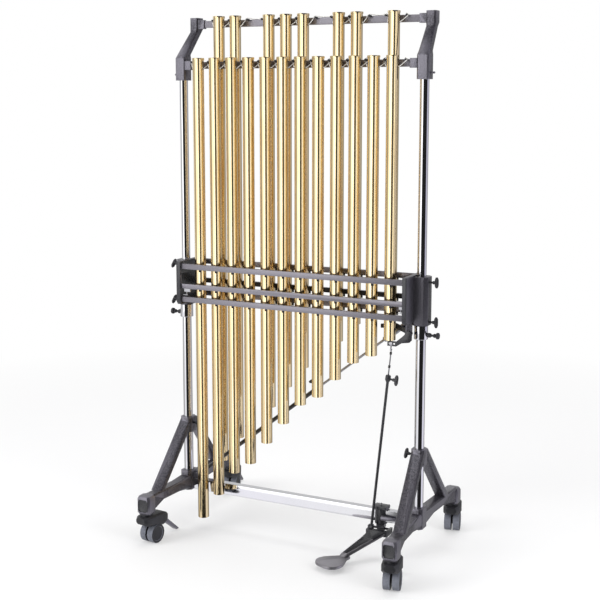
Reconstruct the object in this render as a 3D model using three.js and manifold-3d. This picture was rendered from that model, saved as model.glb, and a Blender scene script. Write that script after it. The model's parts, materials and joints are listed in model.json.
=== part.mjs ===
// Tubular bells: twenty brass tubes hang on cords from two rails, a damper box closes on them at
// mid height, and two cast end frames on braked casters carry it all on telescoping poles.
// Millimetres, +Z up, the player stands on the -Y side and the long tubes hang at -X.
import * as THREE from 'three';
import { mergeVertices } from 'three/addons/utils/BufferGeometryUtils.js';
import Module from 'manifold-3d';

const wasm = await Module();
wasm.setup();

// Driving dimensions of the bells
const tubeDiameter = 38;
const tubeWall = 1.4;
const tubePitch = 63.3;
const rowSpacing = 85;
const rowOffset = 4.8; // the poles stand this far behind the middle of the two rows
const freeLength = 1657; // length of an uncapped tube of the lowest note
const capShortening = 68; // how much the plugged top shortens every tube
const capDiameter = 40.6;
const capHeight = 7;
const capPlug = 9;
const capEdge = 1.2;
const cordHoleDrop = 36; // from the top of a tube down to its cord holes
const cordHoleDiameter = 5;
const cordDiameter = 2.4;
const noteNames = ['C', 'C#', 'D', 'D#', 'E', 'F', 'F#', 'G', 'G#', 'A', 'A#', 'B'];
const bellCount = 20;
const stepsPerHalving = 24; // a tube half as long sounds two octaves higher

// Driving dimensions of the stand
const poleSpacing = 871;
const frontTopHeight = 1633; // top of the front row of tubes
const rowRise = 140; // from the tops of the front row up to those of the back row
const backTopHeight = frontTopHeight + rowRise;
const upperPoleDiameter = 29.6;
const upperPoleWall = 1.6;
const lowerPoleDiameter = 32;
const lowerPoleWall = 0.9;
const upperPoleBottom = 470;
const fit = 0.3; // gap between pieces that touch
const overrun = 2; // how far a cutting shape runs past what it cuts

// Facet counts
const tubeSides = 16;
const poleSides = 16;
const wheelSides = 16;
const smallSides = 10;
const cordSides = 8;
const pegSides = 6;

// Colours and finishes
const finishes = {
  brass: { color: 0xc9a35a, roughness: 0.28, metalness: 1 },
  chrome: { color: 0xd8d8dc, roughness: 0.08, metalness: 1 },
  steel: { color: 0xb4b4b8, roughness: 0.35, metalness: 1 },
  rail: { color: 0x9b979e, roughness: 0.38, metalness: 0.8 },
  casting: { color: 0x5c5a64, roughness: 0.55, metalness: 0.3 },
  black: { color: 0x1b1b1d, roughness: 0.5, metalness: 0 },
  tread: { color: 0x85888f, roughness: 0.7, metalness: 0 },
  cord: { color: 0xe8e4da, roughness: 0.9, metalness: 0 },
};

const weldDistance = 1e-4;
const group = new THREE.Group();

// Shared shape tools

function toSolid(geometry) {
  const plain = geometry.clone();
  plain.deleteAttribute('normal');
  plain.deleteAttribute('uv');
  const merged = mergeVertices(plain, weldDistance);
  const mesh = new wasm.Mesh({
    numProp: 3,
    vertProperties: new Float32Array(merged.attributes.position.array),
    triVerts: new Uint32Array(merged.index.array),
  });
  return new wasm.Manifold(mesh);
}

function toGeometry(solid) {
  const mesh = solid.getMesh();
  const geometry = new THREE.BufferGeometry();
  geometry.setAttribute('position', new THREE.BufferAttribute(mesh.vertProperties, mesh.numProp));
  geometry.setIndex(new THREE.BufferAttribute(mesh.triVerts, 1));
  geometry.computeVertexNormals();
  return geometry;
}

function joined(...parts) {
  return toGeometry(parts.map(toSolid).reduce((sum, next) => sum.add(next)));
}

function cut(base, ...tools) {
  return toGeometry(tools.map(toSolid).reduce((rest, next) => rest.subtract(next), toSolid(base)));
}

// A closed geometry with its faces turned outwards, whatever order its points were listed in
function facingOut(geometry) {
  const flat = geometry.index ? geometry.toNonIndexed() : geometry;
  const at = flat.attributes.position;
  const [a, b, c] = [new THREE.Vector3(), new THREE.Vector3(), new THREE.Vector3()];
  let volume = 0;
  for (let i = 0; i < at.count; i += 3) {
    a.fromBufferAttribute(at, i);
    b.fromBufferAttribute(at, i + 1);
    c.fromBufferAttribute(at, i + 2);
    volume += a.dot(b.cross(c));
  }
  return volume < 0 ? flipped(flat) : flat;
}

function flipped(geometry) {
  const at = geometry.attributes.position;
  const turned = new Float32Array(at.array.length);
  for (let i = 0; i < at.count; i += 3) {
    for (const [from, to] of [[0, 0], [1, 2], [2, 1]]) {
      turned.set([at.getX(i + from), at.getY(i + from), at.getZ(i + from)], (i + to) * 3);
    }
  }
  const result = new THREE.BufferGeometry();
  result.setAttribute('position', new THREE.BufferAttribute(turned, 3));
  result.computeVertexNormals();
  return result;
}

// The same piece for the other end of the instrument
function mirrored(geometry) {
  const copy = geometry.index ? geometry.toNonIndexed() : geometry.clone();
  return facingOut(copy.scale(-1, 1, 1));
}

function block(width, depth, height, x, y, z) {
  return new THREE.BoxGeometry(width, depth, height).translate(x, y, z);
}

const turns = {
  x: (geometry) => geometry.rotateZ(-Math.PI / 2),
  y: (geometry) => geometry,
  z: (geometry) => geometry.rotateX(Math.PI / 2),
};

function drum(radius, length, axis, x, y, z, sides = smallSides, endRadius = radius) {
  const raw = new THREE.CylinderGeometry(endRadius, radius, length, sides);
  return turns[axis](raw).translate(x, y, z);
}

// A turned shape: [radius, height] pairs that start and end on the axis, or close on themselves
function turned(profile, sides, axis = 'z') {
  const points = profile.map(([radius, height]) => new THREE.Vector2(radius, height));
  return turns[axis](facingOut(new THREE.LatheGeometry(points, sides)));
}

function hollowDrum(outer, inner, bottom, top, sides) {
  return turned([[inner, bottom], [outer, bottom], [outer, top], [inner, top], [inner, bottom]], sides);
}

// An outline of [y, z] points, extruded along X between two places
function sidePlate(outline, fromX, toX) {
  const shape = new THREE.Shape(outline.map(([y, z]) => new THREE.Vector2(y, z)));
  const plate = new THREE.ExtrudeGeometry(shape, { depth: toX - fromX, bevelEnabled: false });
  return facingOut(plate.rotateY(Math.PI / 2).rotateX(Math.PI / 2).translate(fromX, 0, 0));
}

// A rectangle with cut corners around a station, level or upright
function ring({ x, y, z, across, along, corner }, level) {
  const [a, b] = [across / 2, along / 2];
  const corners = [
    [a, -b + corner], [a, b - corner], [a - corner, b], [-a + corner, b],
    [-a, b - corner], [-a, -b + corner], [-a + corner, -b], [a - corner, -b],
  ];
  return corners.map(([u, v]) => (
    level ? new THREE.Vector3(x + u, y + v, z) : new THREE.Vector3(x + u, y, z + v)
  ));
}

// A solid skinned over a row of such stations
function loft(stations, level = true) {
  const rings = stations.map((station) => ring(station, level));
  const sides = rings[0].length;
  const points = [];
  const add = (...corners) => corners.forEach((corner) => points.push(...corner.toArray()));
  for (let i = 1; i < rings.length; i += 1) {
    for (let j = 0; j < sides; j += 1) {
      const k = (j + 1) % sides;
      add(rings[i - 1][j], rings[i - 1][k], rings[i][k]);
      add(rings[i - 1][j], rings[i][k], rings[i][j]);
    }
  }
  for (let j = 1; j < sides - 1; j += 1) {
    add(rings[0][0], rings[0][j + 1], rings[0][j]);
    add(rings.at(-1)[0], rings.at(-1)[j], rings.at(-1)[j + 1]);
  }
  const geometry = new THREE.BufferGeometry();
  geometry.setAttribute('position', new THREE.BufferAttribute(new Float32Array(points), 3));
  geometry.computeVertexNormals();
  return facingOut(geometry);
}

function addPiece(parent, name, geometry, finish, place = [0, 0, 0]) {
  const mesh = new THREE.Mesh(geometry, new THREE.MeshStandardMaterial(finishes[finish]));
  mesh.name = name;
  mesh.position.set(...place);
  parent.add(mesh);
  return mesh;
}

const poleX = poleSpacing / 2;
const tubeRadius = tubeDiameter / 2;
const frontRowY = -rowSpacing / 2 - rowOffset;
const backRowY = frontRowY + rowSpacing;
const ends = { left: -1, right: 1 };
const forEnd = (side, geometry) => (side < 0 ? mirrored(geometry) : geometry);

// Bells: the naturals hang in the front row and the sharps in the back row
const isSharp = (note) => noteNames[note % noteNames.length].endsWith('#');
const allNotes = [...Array(Math.round(bellCount)).keys()];
const naturalNotes = allNotes.filter((note) => !isSharp(note));
const sharpNotes = allNotes.filter(isSharp);

// Each is open below, plugged above, with a cord hole on each side just below the cap

function bellLength(note) {
  return freeLength * 2 ** (-note / stepsPerHalving) - capShortening;
}

function bell(note) {
  const top = cordHoleDrop;
  const bottom = top - bellLength(note);
  const bore = tubeRadius - tubeWall;
  const cap = capDiameter / 2;
  const profile = [
    [0, top], [cap - capEdge, top], [cap, top - capEdge], [cap, top - capHeight],
    [tubeRadius, top - capHeight], [tubeRadius, bottom], [bore, bottom], [bore, top - capPlug],
    [0, top - capPlug],
  ];
  const hole = drum(cordHoleDiameter / 2, capDiameter + overrun, 'x', 0, 0, 0, pegSides);
  return cut(turned(profile, tubeSides), hole);
}

// Where a note hangs along X: a sharp halfway between its two naturals
const rowStart = -tubePitch * (naturalNotes.length - 1) / 2;

function bellX(note) {
  const lowerNaturals = naturalNotes.filter((lower) => lower < note).length;
  return rowStart + tubePitch * (isSharp(note) ? lowerNaturals - 1 / 2 : lowerNaturals);
}

// A tube hangs this far off centre; the flats of the drilled hole lie inside its diameter
const cordSlack = cordHoleDiameter / 2 * Math.cos(Math.PI / pegSides) - cordDiameter / 2 - fit;
const rows = {
  front: { notes: naturalNotes, y: frontRowY, cordZ: frontTopHeight - cordHoleDrop + cordSlack },
  back: { notes: sharpNotes, y: backRowY, cordZ: backTopHeight - cordHoleDrop + cordSlack },
};

function addBells() {
  for (const [rowName, row] of Object.entries(rows)) {
    row.notes.forEach((note, index) => {
      const number = String(index + 1).padStart(2, '0');
      const place = [bellX(note), row.y, row.cordZ - cordSlack];
      addPiece(group, `bell_${rowName}_${number}`, bell(note), 'brass', place);
    });
  }
}

// Hanging rails: flat bars behind each row, with two pegs for every tube
const railHeight = 23;
const railDepth = 10;
const railSetback = 29; // from a row's centre to the front of its rail
const railDrop = 12; // from the top of the tubes to the top of the rail
const pegReach = 35.5; // from a tube's centre to each of its two pegs
const pegRadius = 3.3;
const pegLength = 15;
const pegDrop = 0.5; // below the rail's top
const bracketInset = 6; // how far the bracket leans in at its top
const railSeat = 3; // how deep a rail end sits in its bracket

const lowerBlock = { width: 40, depth: 45, height: 86, rise: 13, corner: 5 };
lowerBlock.top = frontTopHeight + lowerBlock.rise;
lowerBlock.bottom = lowerBlock.top - lowerBlock.height;
const upperBlock = { width: 33, depth: 40, height: 36, drop: 1, corner: 5, setback: 80 };
upperBlock.top = backTopHeight - upperBlock.drop;
upperBlock.bottom = upperBlock.top - upperBlock.height;
const neckArm = { inset: 3, recess: 5 }; // the arm is slimmer than the blocks it joins
const backSocketX = poleX - bracketInset - upperBlock.width / 2;
const frontSocketX = poleX - lowerBlock.width / 2;
rows.front.socketX = frontSocketX;
rows.back.socketX = backSocketX;
rows.front.railTop = frontTopHeight - railDrop;
rows.back.railTop = backTopHeight - railDrop;

function rail(row) {
  const length = 2 * (row.socketX + railSeat);
  const frontY = row.y + railSetback;
  const midZ = row.railTop - railHeight / 2;
  const bar = block(length, railDepth, railHeight, 0, frontY + railDepth / 2, midZ);
  const pegs = row.notes.flatMap((note) => [-1, 1].map((side) => drum(
    pegRadius, pegLength + overrun, 'y', bellX(note) + side * pegReach,
    frontY - (pegLength - overrun) / 2, row.railTop - pegDrop, pegSides,
  )));
  return joined(bar, ...pegs);
}

function addRails() {
  addPiece(group, 'hanging_rail_front', rail(rows.front), 'rail');
  addPiece(group, 'hanging_rail_back', rail(rows.back), 'rail');
}

// Suspension cords: one cord for each row runs through every tube and round its two pegs.
// The strands of neighbouring tubes cross in the gap, one in front of the other.
class CordRoute extends THREE.Curve {
  constructor(points) {
    super();
    this.points = points;
  }

  get steps() {
    return this.points.length - 1;
  }

  getPointAt(share) {
    return this.points[Math.round(share * this.steps)].clone();
  }

  getTangentAt(share) {
    const index = Math.round(share * this.steps);
    const ahead = this.points[Math.min(index + 1, this.steps)];
    const behind = this.points[Math.max(index - 1, 0)];
    return ahead.clone().sub(behind).normalize();
  }
}

const strandGap = 6; // between the planes of two crossing strands
const frontStrand = 18; // how far behind its tubes the nearer strand reaches its peg
const holeLead = 2.2; // how far the cord runs straight past the tube's wall
// Where a cord bends round its peg: round the outer side to cross the cord of a near neighbour, or
// round the inner side to go on along the rail
const crossAngles = [110, 50, -10].map(THREE.MathUtils.degToRad);
const alongAngles = [70, 130, 190].map(THREE.MathUtils.degToRad);
const restLead = 18; // from the peg to where the cord has settled on the rail
const cordBend = (pegRadius + cordDiameter / 2 + fit) / Math.cos((crossAngles[0] - crossAngles[1]) / 2);

// One side of a tube: out of its hole, up, and round the peg
function strandPoints(row, x, side, depth, angles) {
  const pegZ = row.railTop - pegDrop;
  const round = angles.map((angle) => new THREE.Vector3(
    x + side * (pegReach + cordBend * Math.cos(angle)), row.y + depth, pegZ + cordBend * Math.sin(angle),
  ));
  const hole = new THREE.Vector3(x + side * (tubeRadius + holeLead), row.y, row.cordZ);
  return side < 0 ? [...round, hole] : [hole, ...round.reverse()];
}

// Where the next tube is far away, the cord lies on the rail between their pegs
function restPoint(row, x) {
  const onTop = row.railTop + cordDiameter / 2 + fit;
  return new THREE.Vector3(x, row.y + railSetback + railDepth / 2, onTop);
}

function cordPoints(row) {
  const places = row.notes.map(bellX);
  const widest = tubePitch * (1 + 1 / 2 - weldDistance);
  const wide = (x, next) => next !== undefined && Math.abs(next - x) > widest;
  const rest = pegReach + restLead;
  return places.flatMap((x, index) => {
    const [before, after] = [wide(x, places[index - 1]), wide(x, places[index + 1])];
    return [
      ...(before ? [restPoint(row, x - rest)] : []),
      ...strandPoints(row, x, -1, frontStrand + strandGap, before ? alongAngles : crossAngles),
      ...strandPoints(row, x, 1, frontStrand, after ? alongAngles : crossAngles),
      ...(after ? [restPoint(row, x + rest)] : []),
    ];
  });
}

function suspensionCord(row) {
  const route = new CordRoute(cordPoints(row));
  const section = new THREE.Shape();
  section.absarc(0, 0, cordDiameter / 2, 0, 2 * Math.PI);
  const { steps } = route;
  const options = { steps, extrudePath: route, curveSegments: cordSides / 2, bevelEnabled: false };
  return facingOut(new THREE.ExtrudeGeometry(section, options));
}

function addCords() {
  addPiece(group, 'suspension_cord_front', suspensionCord(rows.front), 'cord');
  addPiece(group, 'suspension_cord_back', suspensionCord(rows.back), 'cord');
}

// Goose-neck brackets: the lower block sits on the pole and holds the front rail, the upper block
// holds the back rail
const socket = { reach: 22, wall: 3.4 };
const poleSocketDepth = 70;
const neckSlope = 12; // height of the bend where the arm meets a block
const bracketScrew = { radius: 3.2, reach: 13, drop: 66 };

function railSocket(row) {
  const height = railHeight + 2 * socket.wall;
  const depth = railDepth + 2 * socket.wall;
  const midY = row.y + railSetback + railDepth / 2;
  const midZ = row.railTop - railHeight / 2;
  const midX = row.socketX + (overrun - socket.reach) / 2;
  return block(socket.reach + overrun, depth, height, midX, midY, midZ);
}

function railHole(row) {
  const length = socket.reach + railSeat + overrun + fit;
  const midY = row.y + railSetback + railDepth / 2;
  const midX = row.socketX + railSeat + fit - length / 2;
  return block(length, railDepth + 2 * fit, railHeight + 2 * fit, midX, midY, row.railTop - railHeight / 2);
}

function bracket() {
  const [low, high] = [lowerBlock, upperBlock];
  const topX = poleX - bracketInset;
  const lowBlock = { x: poleX, y: 0, across: low.width, along: low.depth, corner: low.corner };
  const highBlock = { x: topX, y: high.setback, across: high.width, along: high.depth, corner: high.corner };
  const neck = loft([
    { ...lowBlock, z: low.bottom },
    { ...lowBlock, z: low.top - neckSlope },
    { ...lowBlock, y: neckArm.recess, z: low.top, across: low.width - neckArm.inset,
      along: low.depth - 2 * neckArm.recess },
    { ...highBlock, y: high.setback - neckSlope / 2, z: high.bottom - neckSlope,
      across: high.width - neckArm.inset, along: high.depth - neckArm.recess },
    { ...highBlock, z: high.bottom },
    { ...highBlock, z: high.top },
  ]);
  const poleBore = drum(
    upperPoleDiameter / 2 + fit, poleSocketDepth + overrun, 'z', poleX, 0,
    low.bottom + (poleSocketDepth - overrun) / 2, poleSides,
  );
  const screw = drum(
    bracketScrew.radius, bracketScrew.reach + overrun, 'x',
    poleX + low.width / 2 + (bracketScrew.reach - overrun) / 2, 0, low.top - bracketScrew.drop,
  );
  const body = joined(neck, screw, railSocket(rows.front), railSocket(rows.back));
  return cut(body, poleBore, railHole(rows.front), railHole(rows.back));
}

function addBrackets() {
  for (const [name, side] of Object.entries(ends)) {
    addPiece(group, `gooseneck_bracket_${name}`, forEnd(side, bracket()), 'casting');
  }
}

// Poles: the upper one slides in the lower one, whose clamp collar has a screw knob on its outer side
const collar = { diameter: 45, bottom: 745, top: 790, edge: 2 };
const lowerPoleFoot = 132;
const knob = {
  neck: 7.5, neckLength: 12, waist: 4, waistLength: 8, bead: 6.5, beadLength: 8, head: 10.5, headLength: 11,
  drop: 4.6,
};

function upperPole() {
  const top = lowerBlock.bottom + poleSocketDepth - fit;
  const radius = upperPoleDiameter / 2;
  return hollowDrum(radius, radius - upperPoleWall, upperPoleBottom, top, poleSides);
}

function screwKnob(x, z) {
  const steps = ['neck', 'waist', 'bead', 'head'];
  const profile = [[0, -overrun]];
  let at = -overrun;
  for (const step of steps) {
    const end = Math.max(at, 0) + knob[`${step}Length`];
    profile.push([knob[step], at], [knob[step], end]);
    at = end;
  }
  return turned([...profile, [0, at]], smallSides, 'x').translate(x, 0, z);
}

function lowerPole() {
  const outer = lowerPoleDiameter / 2;
  const inner = outer - lowerPoleWall;
  const rim = collar.diameter / 2;
  const tube = turned([
    [inner, lowerPoleFoot], [outer, lowerPoleFoot], [outer, collar.bottom],
    [rim - collar.edge, collar.bottom], [rim, collar.bottom + collar.edge],
    [rim, collar.top - collar.edge], [rim - collar.edge, collar.top],
    [inner, collar.top], [inner, lowerPoleFoot],
  ], poleSides).translate(poleX, 0, 0);
  const knobZ = (collar.bottom + collar.top) / 2 - knob.drop;
  return joined(tube, screwKnob(poleX + rim, knobZ));
}

function addPoles() {
  for (const [name, side] of Object.entries(ends)) {
    addPiece(group, `upper_pole_${name}`, upperPole(), 'chrome', [side * poleX, 0, 0]);
    addPiece(group, `lower_pole_${name}`, forEnd(side, lowerPole()), 'chrome');
  }
}

// End frames: an A of two flat legs over a low beam, with a collar and a centre block for the pole
const foot = {
  x: 446, frontY: -257, backY: 306, width: 50, depth: 46, bottom: 108, frontTop: 171, backTop: 163, corner: 7,
  step: 8,
};
const leg = { topZ: 382, lowZ: 186, topWidth: 42, lowWidth: 42, thick: 25, corner: 3 };
const legFootY = { front: -183, back: 194 };
const legHeadY = { front: -15, back: 27 };
const upperCollar = { width: 44, depth: 48, bottom: 332, top: 386, corner: 10, screwDrop: 22 };
const centreBlock = { width: 44, depth: 56, bottom: 122, top: 190, corner: 10 };
const beamBar = {
  width: 40, height: 34, midZ: 154, footHeight: 58, footZ: 141, rootHeight: 52, rootZ: 150, corner: 5,
};
const recess = { width: 37, height: 42, depth: 4, corner: 6 };
const wing = { shaft: 3.5, reach: 22, hub: 5.5, hubLength: 12, thick: 12, span: 34, width: 13, corner: 2.4 };
// From tip to tip of a wing: shares of its span, its thickness and its width
const wingShares = [[-0.5, 0.5, 0.6], [-0.3, 0.85, 1], [0, 1, 0.8], [0.3, 0.85, 1], [0.5, 0.5, 0.6]];
const frameWingAngle = -38;

function legBar(end) {
  const [footY, headY] = [legFootY[end], legHeadY[end]];
  const inner = -Math.sign(footY) * leg.thick / 2;
  const slope = (footY - headY) / (leg.topZ - leg.lowZ);
  const sunk = beamBar.height / 2; // the foot of the leg runs on into the beam
  const section = { along: leg.thick, corner: leg.corner };
  return loft([
    { ...section, x: foot.x, y: footY + slope * sunk + inner, z: leg.lowZ - sunk, across: leg.lowWidth },
    { ...section, x: poleX, y: headY + inner, z: leg.topZ, across: leg.topWidth },
  ]);
}

function beamHalf(end) {
  const footY = foot[`${end}Y`];
  const { height, midZ, footHeight, footZ, rootHeight, rootZ } = beamBar;
  const section = { across: beamBar.width, corner: beamBar.corner };
  const endY = footY - Math.sign(footY) * foot.depth / 4;
  return loft([
    { ...section, x: poleX, y: 0, z: rootZ, along: rootHeight },
    { ...section, x: poleX, y: legFootY[end] / 2, z: midZ, along: height },
    { ...section, x: (poleX + foot.x) / 2, y: legFootY[end], z: midZ, along: height },
    { ...section, x: foot.x, y: endY, z: footZ, along: footHeight },
  ], false);
}

function footBlock(end) {
  const y = foot[`${end}Y`];
  const { x, width, depth, corner } = foot;
  const top = foot[`${end}Top`];
  const body = loft([
    { x, y, z: foot.bottom, across: width - corner, along: depth - corner, corner },
    { x, y, z: foot.bottom + foot.step, across: width, along: depth, corner },
    { x, y, z: top - foot.step, across: width, along: depth, corner },
    { x, y, z: top, across: width - foot.step, along: depth - foot.step, corner },
  ]);
  const side = Math.sign(y);
  const pocket = loft([
    { x, y: y + side * (depth / 2 - recess.depth), z: (foot.bottom + top) / 2, across: recess.width,
      along: recess.height, corner: recess.corner },
    { x, y: y + side * (depth / 2 + overrun), z: (foot.bottom + top) / 2, across: recess.width,
      along: recess.height, corner: recess.corner },
  ], false);
  return cut(body, pocket);
}

// A screw with two wings, standing out along X
function wingScrew(x, y, z, turnAngle) {
  const { shaft, reach, hub, hubLength, thick, span, width, corner } = wing;
  const stem = drum(shaft, reach + overrun, 'x', x + (reach - overrun) / 2, y, z);
  const middle = drum(hub, hubLength, 'x', x + reach - hubLength / 2, y, z);
  const blade = loft(wingShares.map(([along, deep, wide]) => (
    { x: 0, y: 0, z: along * span, across: deep * thick, along: wide * width, corner }
  )));
  blade.rotateX(THREE.MathUtils.degToRad(turnAngle)).translate(x + reach, y, z);
  return joined(stem, middle, blade);
}

// A block with cut corners around the pole
function poleBlock({ width, depth, bottom, top, corner }) {
  return loft([bottom, top].map((z) => ({ x: poleX, y: 0, z, across: width, along: depth, corner })));
}

function endFrame(inward) {
  const [collarBody, centre] = [poleBlock(upperCollar), poleBlock(centreBlock)];
  const screwZ = upperCollar.top - upperCollar.screwDrop;
  const inner = mirrored(wingScrew(upperCollar.width / 2 - poleX, 0, screwZ, frameWingAngle));
  const body = joined(
    collarBody, centre, inner, legBar('front'), legBar('back'), beamHalf('front'), beamHalf('back'),
    footBlock('front'), footBlock('back'), ...inward,
  );
  const radius = lowerPoleDiameter / 2 + fit;
  const length = upperCollar.top - lowerPoleFoot + overrun + fit;
  return cut(body, drum(radius, length, 'z', poleX, 0, upperCollar.top + overrun - length / 2, poleSides));
}

// Cross beam: a polished rectangular tube between the centre blocks
const crossBeam = { height: 40, depth: 24, wall: 2.5, midZ: 143.5 };

function addCrossBeam() {
  const length = 2 * (poleX - centreBlock.width / 2 - fit);
  const bar = block(length, crossBeam.depth, crossBeam.height, 0, 0, crossBeam.midZ);
  const { wall } = crossBeam;
  const [boreDepth, boreHeight] = [crossBeam.depth - 2 * wall, crossBeam.height - 2 * wall];
  const bore = block(length + overrun, boreDepth, boreHeight, 0, 0, crossBeam.midZ);
  addPiece(group, 'cross_beam', cut(bar, bore), 'chrome');
}

// Diagonal brace: a black tube hinged low at the left, with a rod that slides in it and holds the
// damper box at the right
const brace = {
  lowInset: 37, lowZ: 174.5, highInset: 41, highZ: 797, diameter: 14, bore: 8.6, rod: 8,
  outerLength: 604, rodInside: 190, eye: 11, eyeWidth: 8, rodEyeWidth: 6, pin: 4, pinClear: 0.4,
  openClear: 2.5,
  clamp: 11, clampLength: 22, sleeve: 9, sleeveLength: 98, sleeveInset: 8,
};
brace.lowX = brace.lowInset - poleX;
brace.highX = poleX - brace.highInset;
const braceKnob = { shaft: 3.5, length: 33, head: 8, headLength: 8 };
const lug = { cheek: 5, radius: 10, gap: 0.4 };
const braceRise = Math.atan2(brace.highZ - brace.lowZ, brace.highX - brace.lowX);
const braceLength = Math.hypot(brace.highX - brace.lowX, brace.highZ - brace.lowZ);

// Two cheeks with a pin across, reaching from a wall at wallX to the pivot at x
function pivotLug(x, z, wallX) {
  const cheekY = brace.eyeWidth / 2 + lug.gap + lug.cheek / 2;
  const reach = Math.abs(wallX - x) + overrun;
  const cheeks = [-1, 1].flatMap((side) => [
    drum(lug.radius, lug.cheek, 'y', x, side * cheekY, z),
    block(reach, lug.cheek, 2 * lug.radius, (x + wallX + overrun) / 2, side * cheekY, z),
  ]);
  const pin = drum(brace.pin, 2 * cheekY, 'y', x, 0, z);
  return [...cheeks, pin];
}

function braceTube() {
  const start = lug.radius + 2 * fit; // clear of the round cheeks on either side of the eye
  const neck = block(start + overrun, brace.eyeWidth, brace.diameter, (start + overrun) / 2, 0, 0);
  const tube = cut(
    drum(brace.diameter / 2, brace.outerLength - start, 'x', (brace.outerLength + start) / 2, 0, 0),
    drum(brace.bore / 2, brace.outerLength, 'x', brace.outerLength / 2 + 2 * brace.eye, 0, 0),
  );
  const eye = drum(brace.eye, brace.eyeWidth, 'y', 0, 0, 0);
  const clampX = brace.outerLength - brace.clampLength / 2;
  const clamp = cut(
    drum(brace.clamp, brace.clampLength, 'x', clampX, 0, 0),
    drum(brace.bore / 2, brace.clampLength + overrun, 'x', clampX, 0, 0),
  );
  const { shaft, length, headLength } = braceKnob;
  const grip = drum(shaft, length, 'z', clampX, 0, length / 2 - overrun);
  const head = drum(braceKnob.head, headLength, 'z', clampX, 0, length + overrun - headLength / 2);
  const room = drum(brace.bore, brace.outerLength, 'x', brace.outerLength / 2, 0, 0);
  const solid = joined(tube, neck, eye, clamp, cut(joined(grip, head), room));
  return cut(solid, drum(brace.pin + brace.pinClear, brace.eyeWidth + overrun, 'y', 0, 0, 0));
}

function braceRod() {
  const start = brace.outerLength - brace.rodInside;
  const rod = drum(brace.rod / 2, braceLength - start - brace.eye + overrun, 'x',
    (braceLength - brace.eye + overrun + start) / 2, 0, 0);
  const eye = drum(brace.eye, brace.rodEyeWidth, 'y', braceLength, 0, 0);
  const sleeveX = braceLength - brace.sleeveInset - brace.sleeveLength / 2;
  const sleeve = drum(brace.sleeve, brace.sleeveLength, 'x', sleeveX, 0, 0);
  const hole = drum(brace.pin + brace.openClear, 2 * brace.sleeve + overrun, 'y', braceLength, 0, 0);
  const roomY = (brace.rodEyeWidth + brace.sleeve) / 2;
  const cheekRoom = [-1, 1].map((side) => block(
    4 * lug.radius, brace.sleeve, 4 * lug.radius, braceLength, side * roomY, 0,
  ));
  return cut(joined(rod, cut(sleeve, ...cheekRoom), eye), hole);
}

function addBrace() {
  const place = [brace.lowX, 0, brace.lowZ];
  addPiece(group, 'brace_tube', braceTube(), 'black', place).rotation.y = -braceRise;
  addPiece(group, 'brace_rod', braceRod(), 'steel', place).rotation.y = -braceRise;
}

function addEndFrames() {
  const wallX = poleX - centreBlock.width / 2;
  const lugs = pivotLug(-brace.lowX, brace.lowZ, wallX);
  addPiece(group, 'end_frame_left', mirrored(endFrame(lugs)), 'casting');
  addPiece(group, 'end_frame_right', endFrame([]), 'casting');
}

// Casters: a hood turns under each foot and carries a pair of wheels and a brake lever behind them
const caster = {
  trail: 27, wheelRadius: 33, wheelWidth: 23, wheelGap: 7, axleRadius: 5, bossRadius: 20, bossHeight: 6,
  hoodNose: -33, hoodTail: 86, hoodWidth: 59, hoodLow: 54, hoodTop: 102, hoodCorner: 6, webWidth: 4.4,
  webRadius: 12, clear: 1.2, hubRadius: 25, hubDepth: 2,
};
const hoodShares = [ // from nose to tail: shares of the hood's length, width and height (underside and top)
  { along: 0, across: 0.61, low: 0.5, top: 0.92 },
  { along: 0.13, across: 0.95, low: 0.33, top: 1 },
  { along: 0.61, across: 1, low: 0.125, top: 1 },
  { along: 0.78, across: 0.95, low: 0, top: 0.98 },
  { along: 1, across: 0.71, low: 0.125, top: 0.75 },
];
const lever = {
  width: 17, ear: 6, pinRadius: 3, pinY: 76, pinZ: 70, tipY: 158, tipZ: 6, tipLength: 12, slotTop: 80,
};
const swivelAngles = { front_left: -7, front_right: 13, back_left: 13, back_right: 13 };

function wheelPair() {
  const { wheelWidth, wheelGap, wheelRadius, axleRadius, hubRadius, hubDepth } = caster;
  const middle = (wheelWidth + wheelGap) / 2;
  const wheels = [-1, 1].map((side) => cut(
    drum(wheelRadius, wheelWidth, 'x', side * middle, 0, 0, wheelSides),
    drum(hubRadius, 2 * hubDepth, 'x', side * (middle + wheelWidth / 2), 0, 0, wheelSides),
  ));
  return joined(...wheels, drum(axleRadius, wheelGap + wheelWidth, 'x', 0, 0, 0));
}

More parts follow.
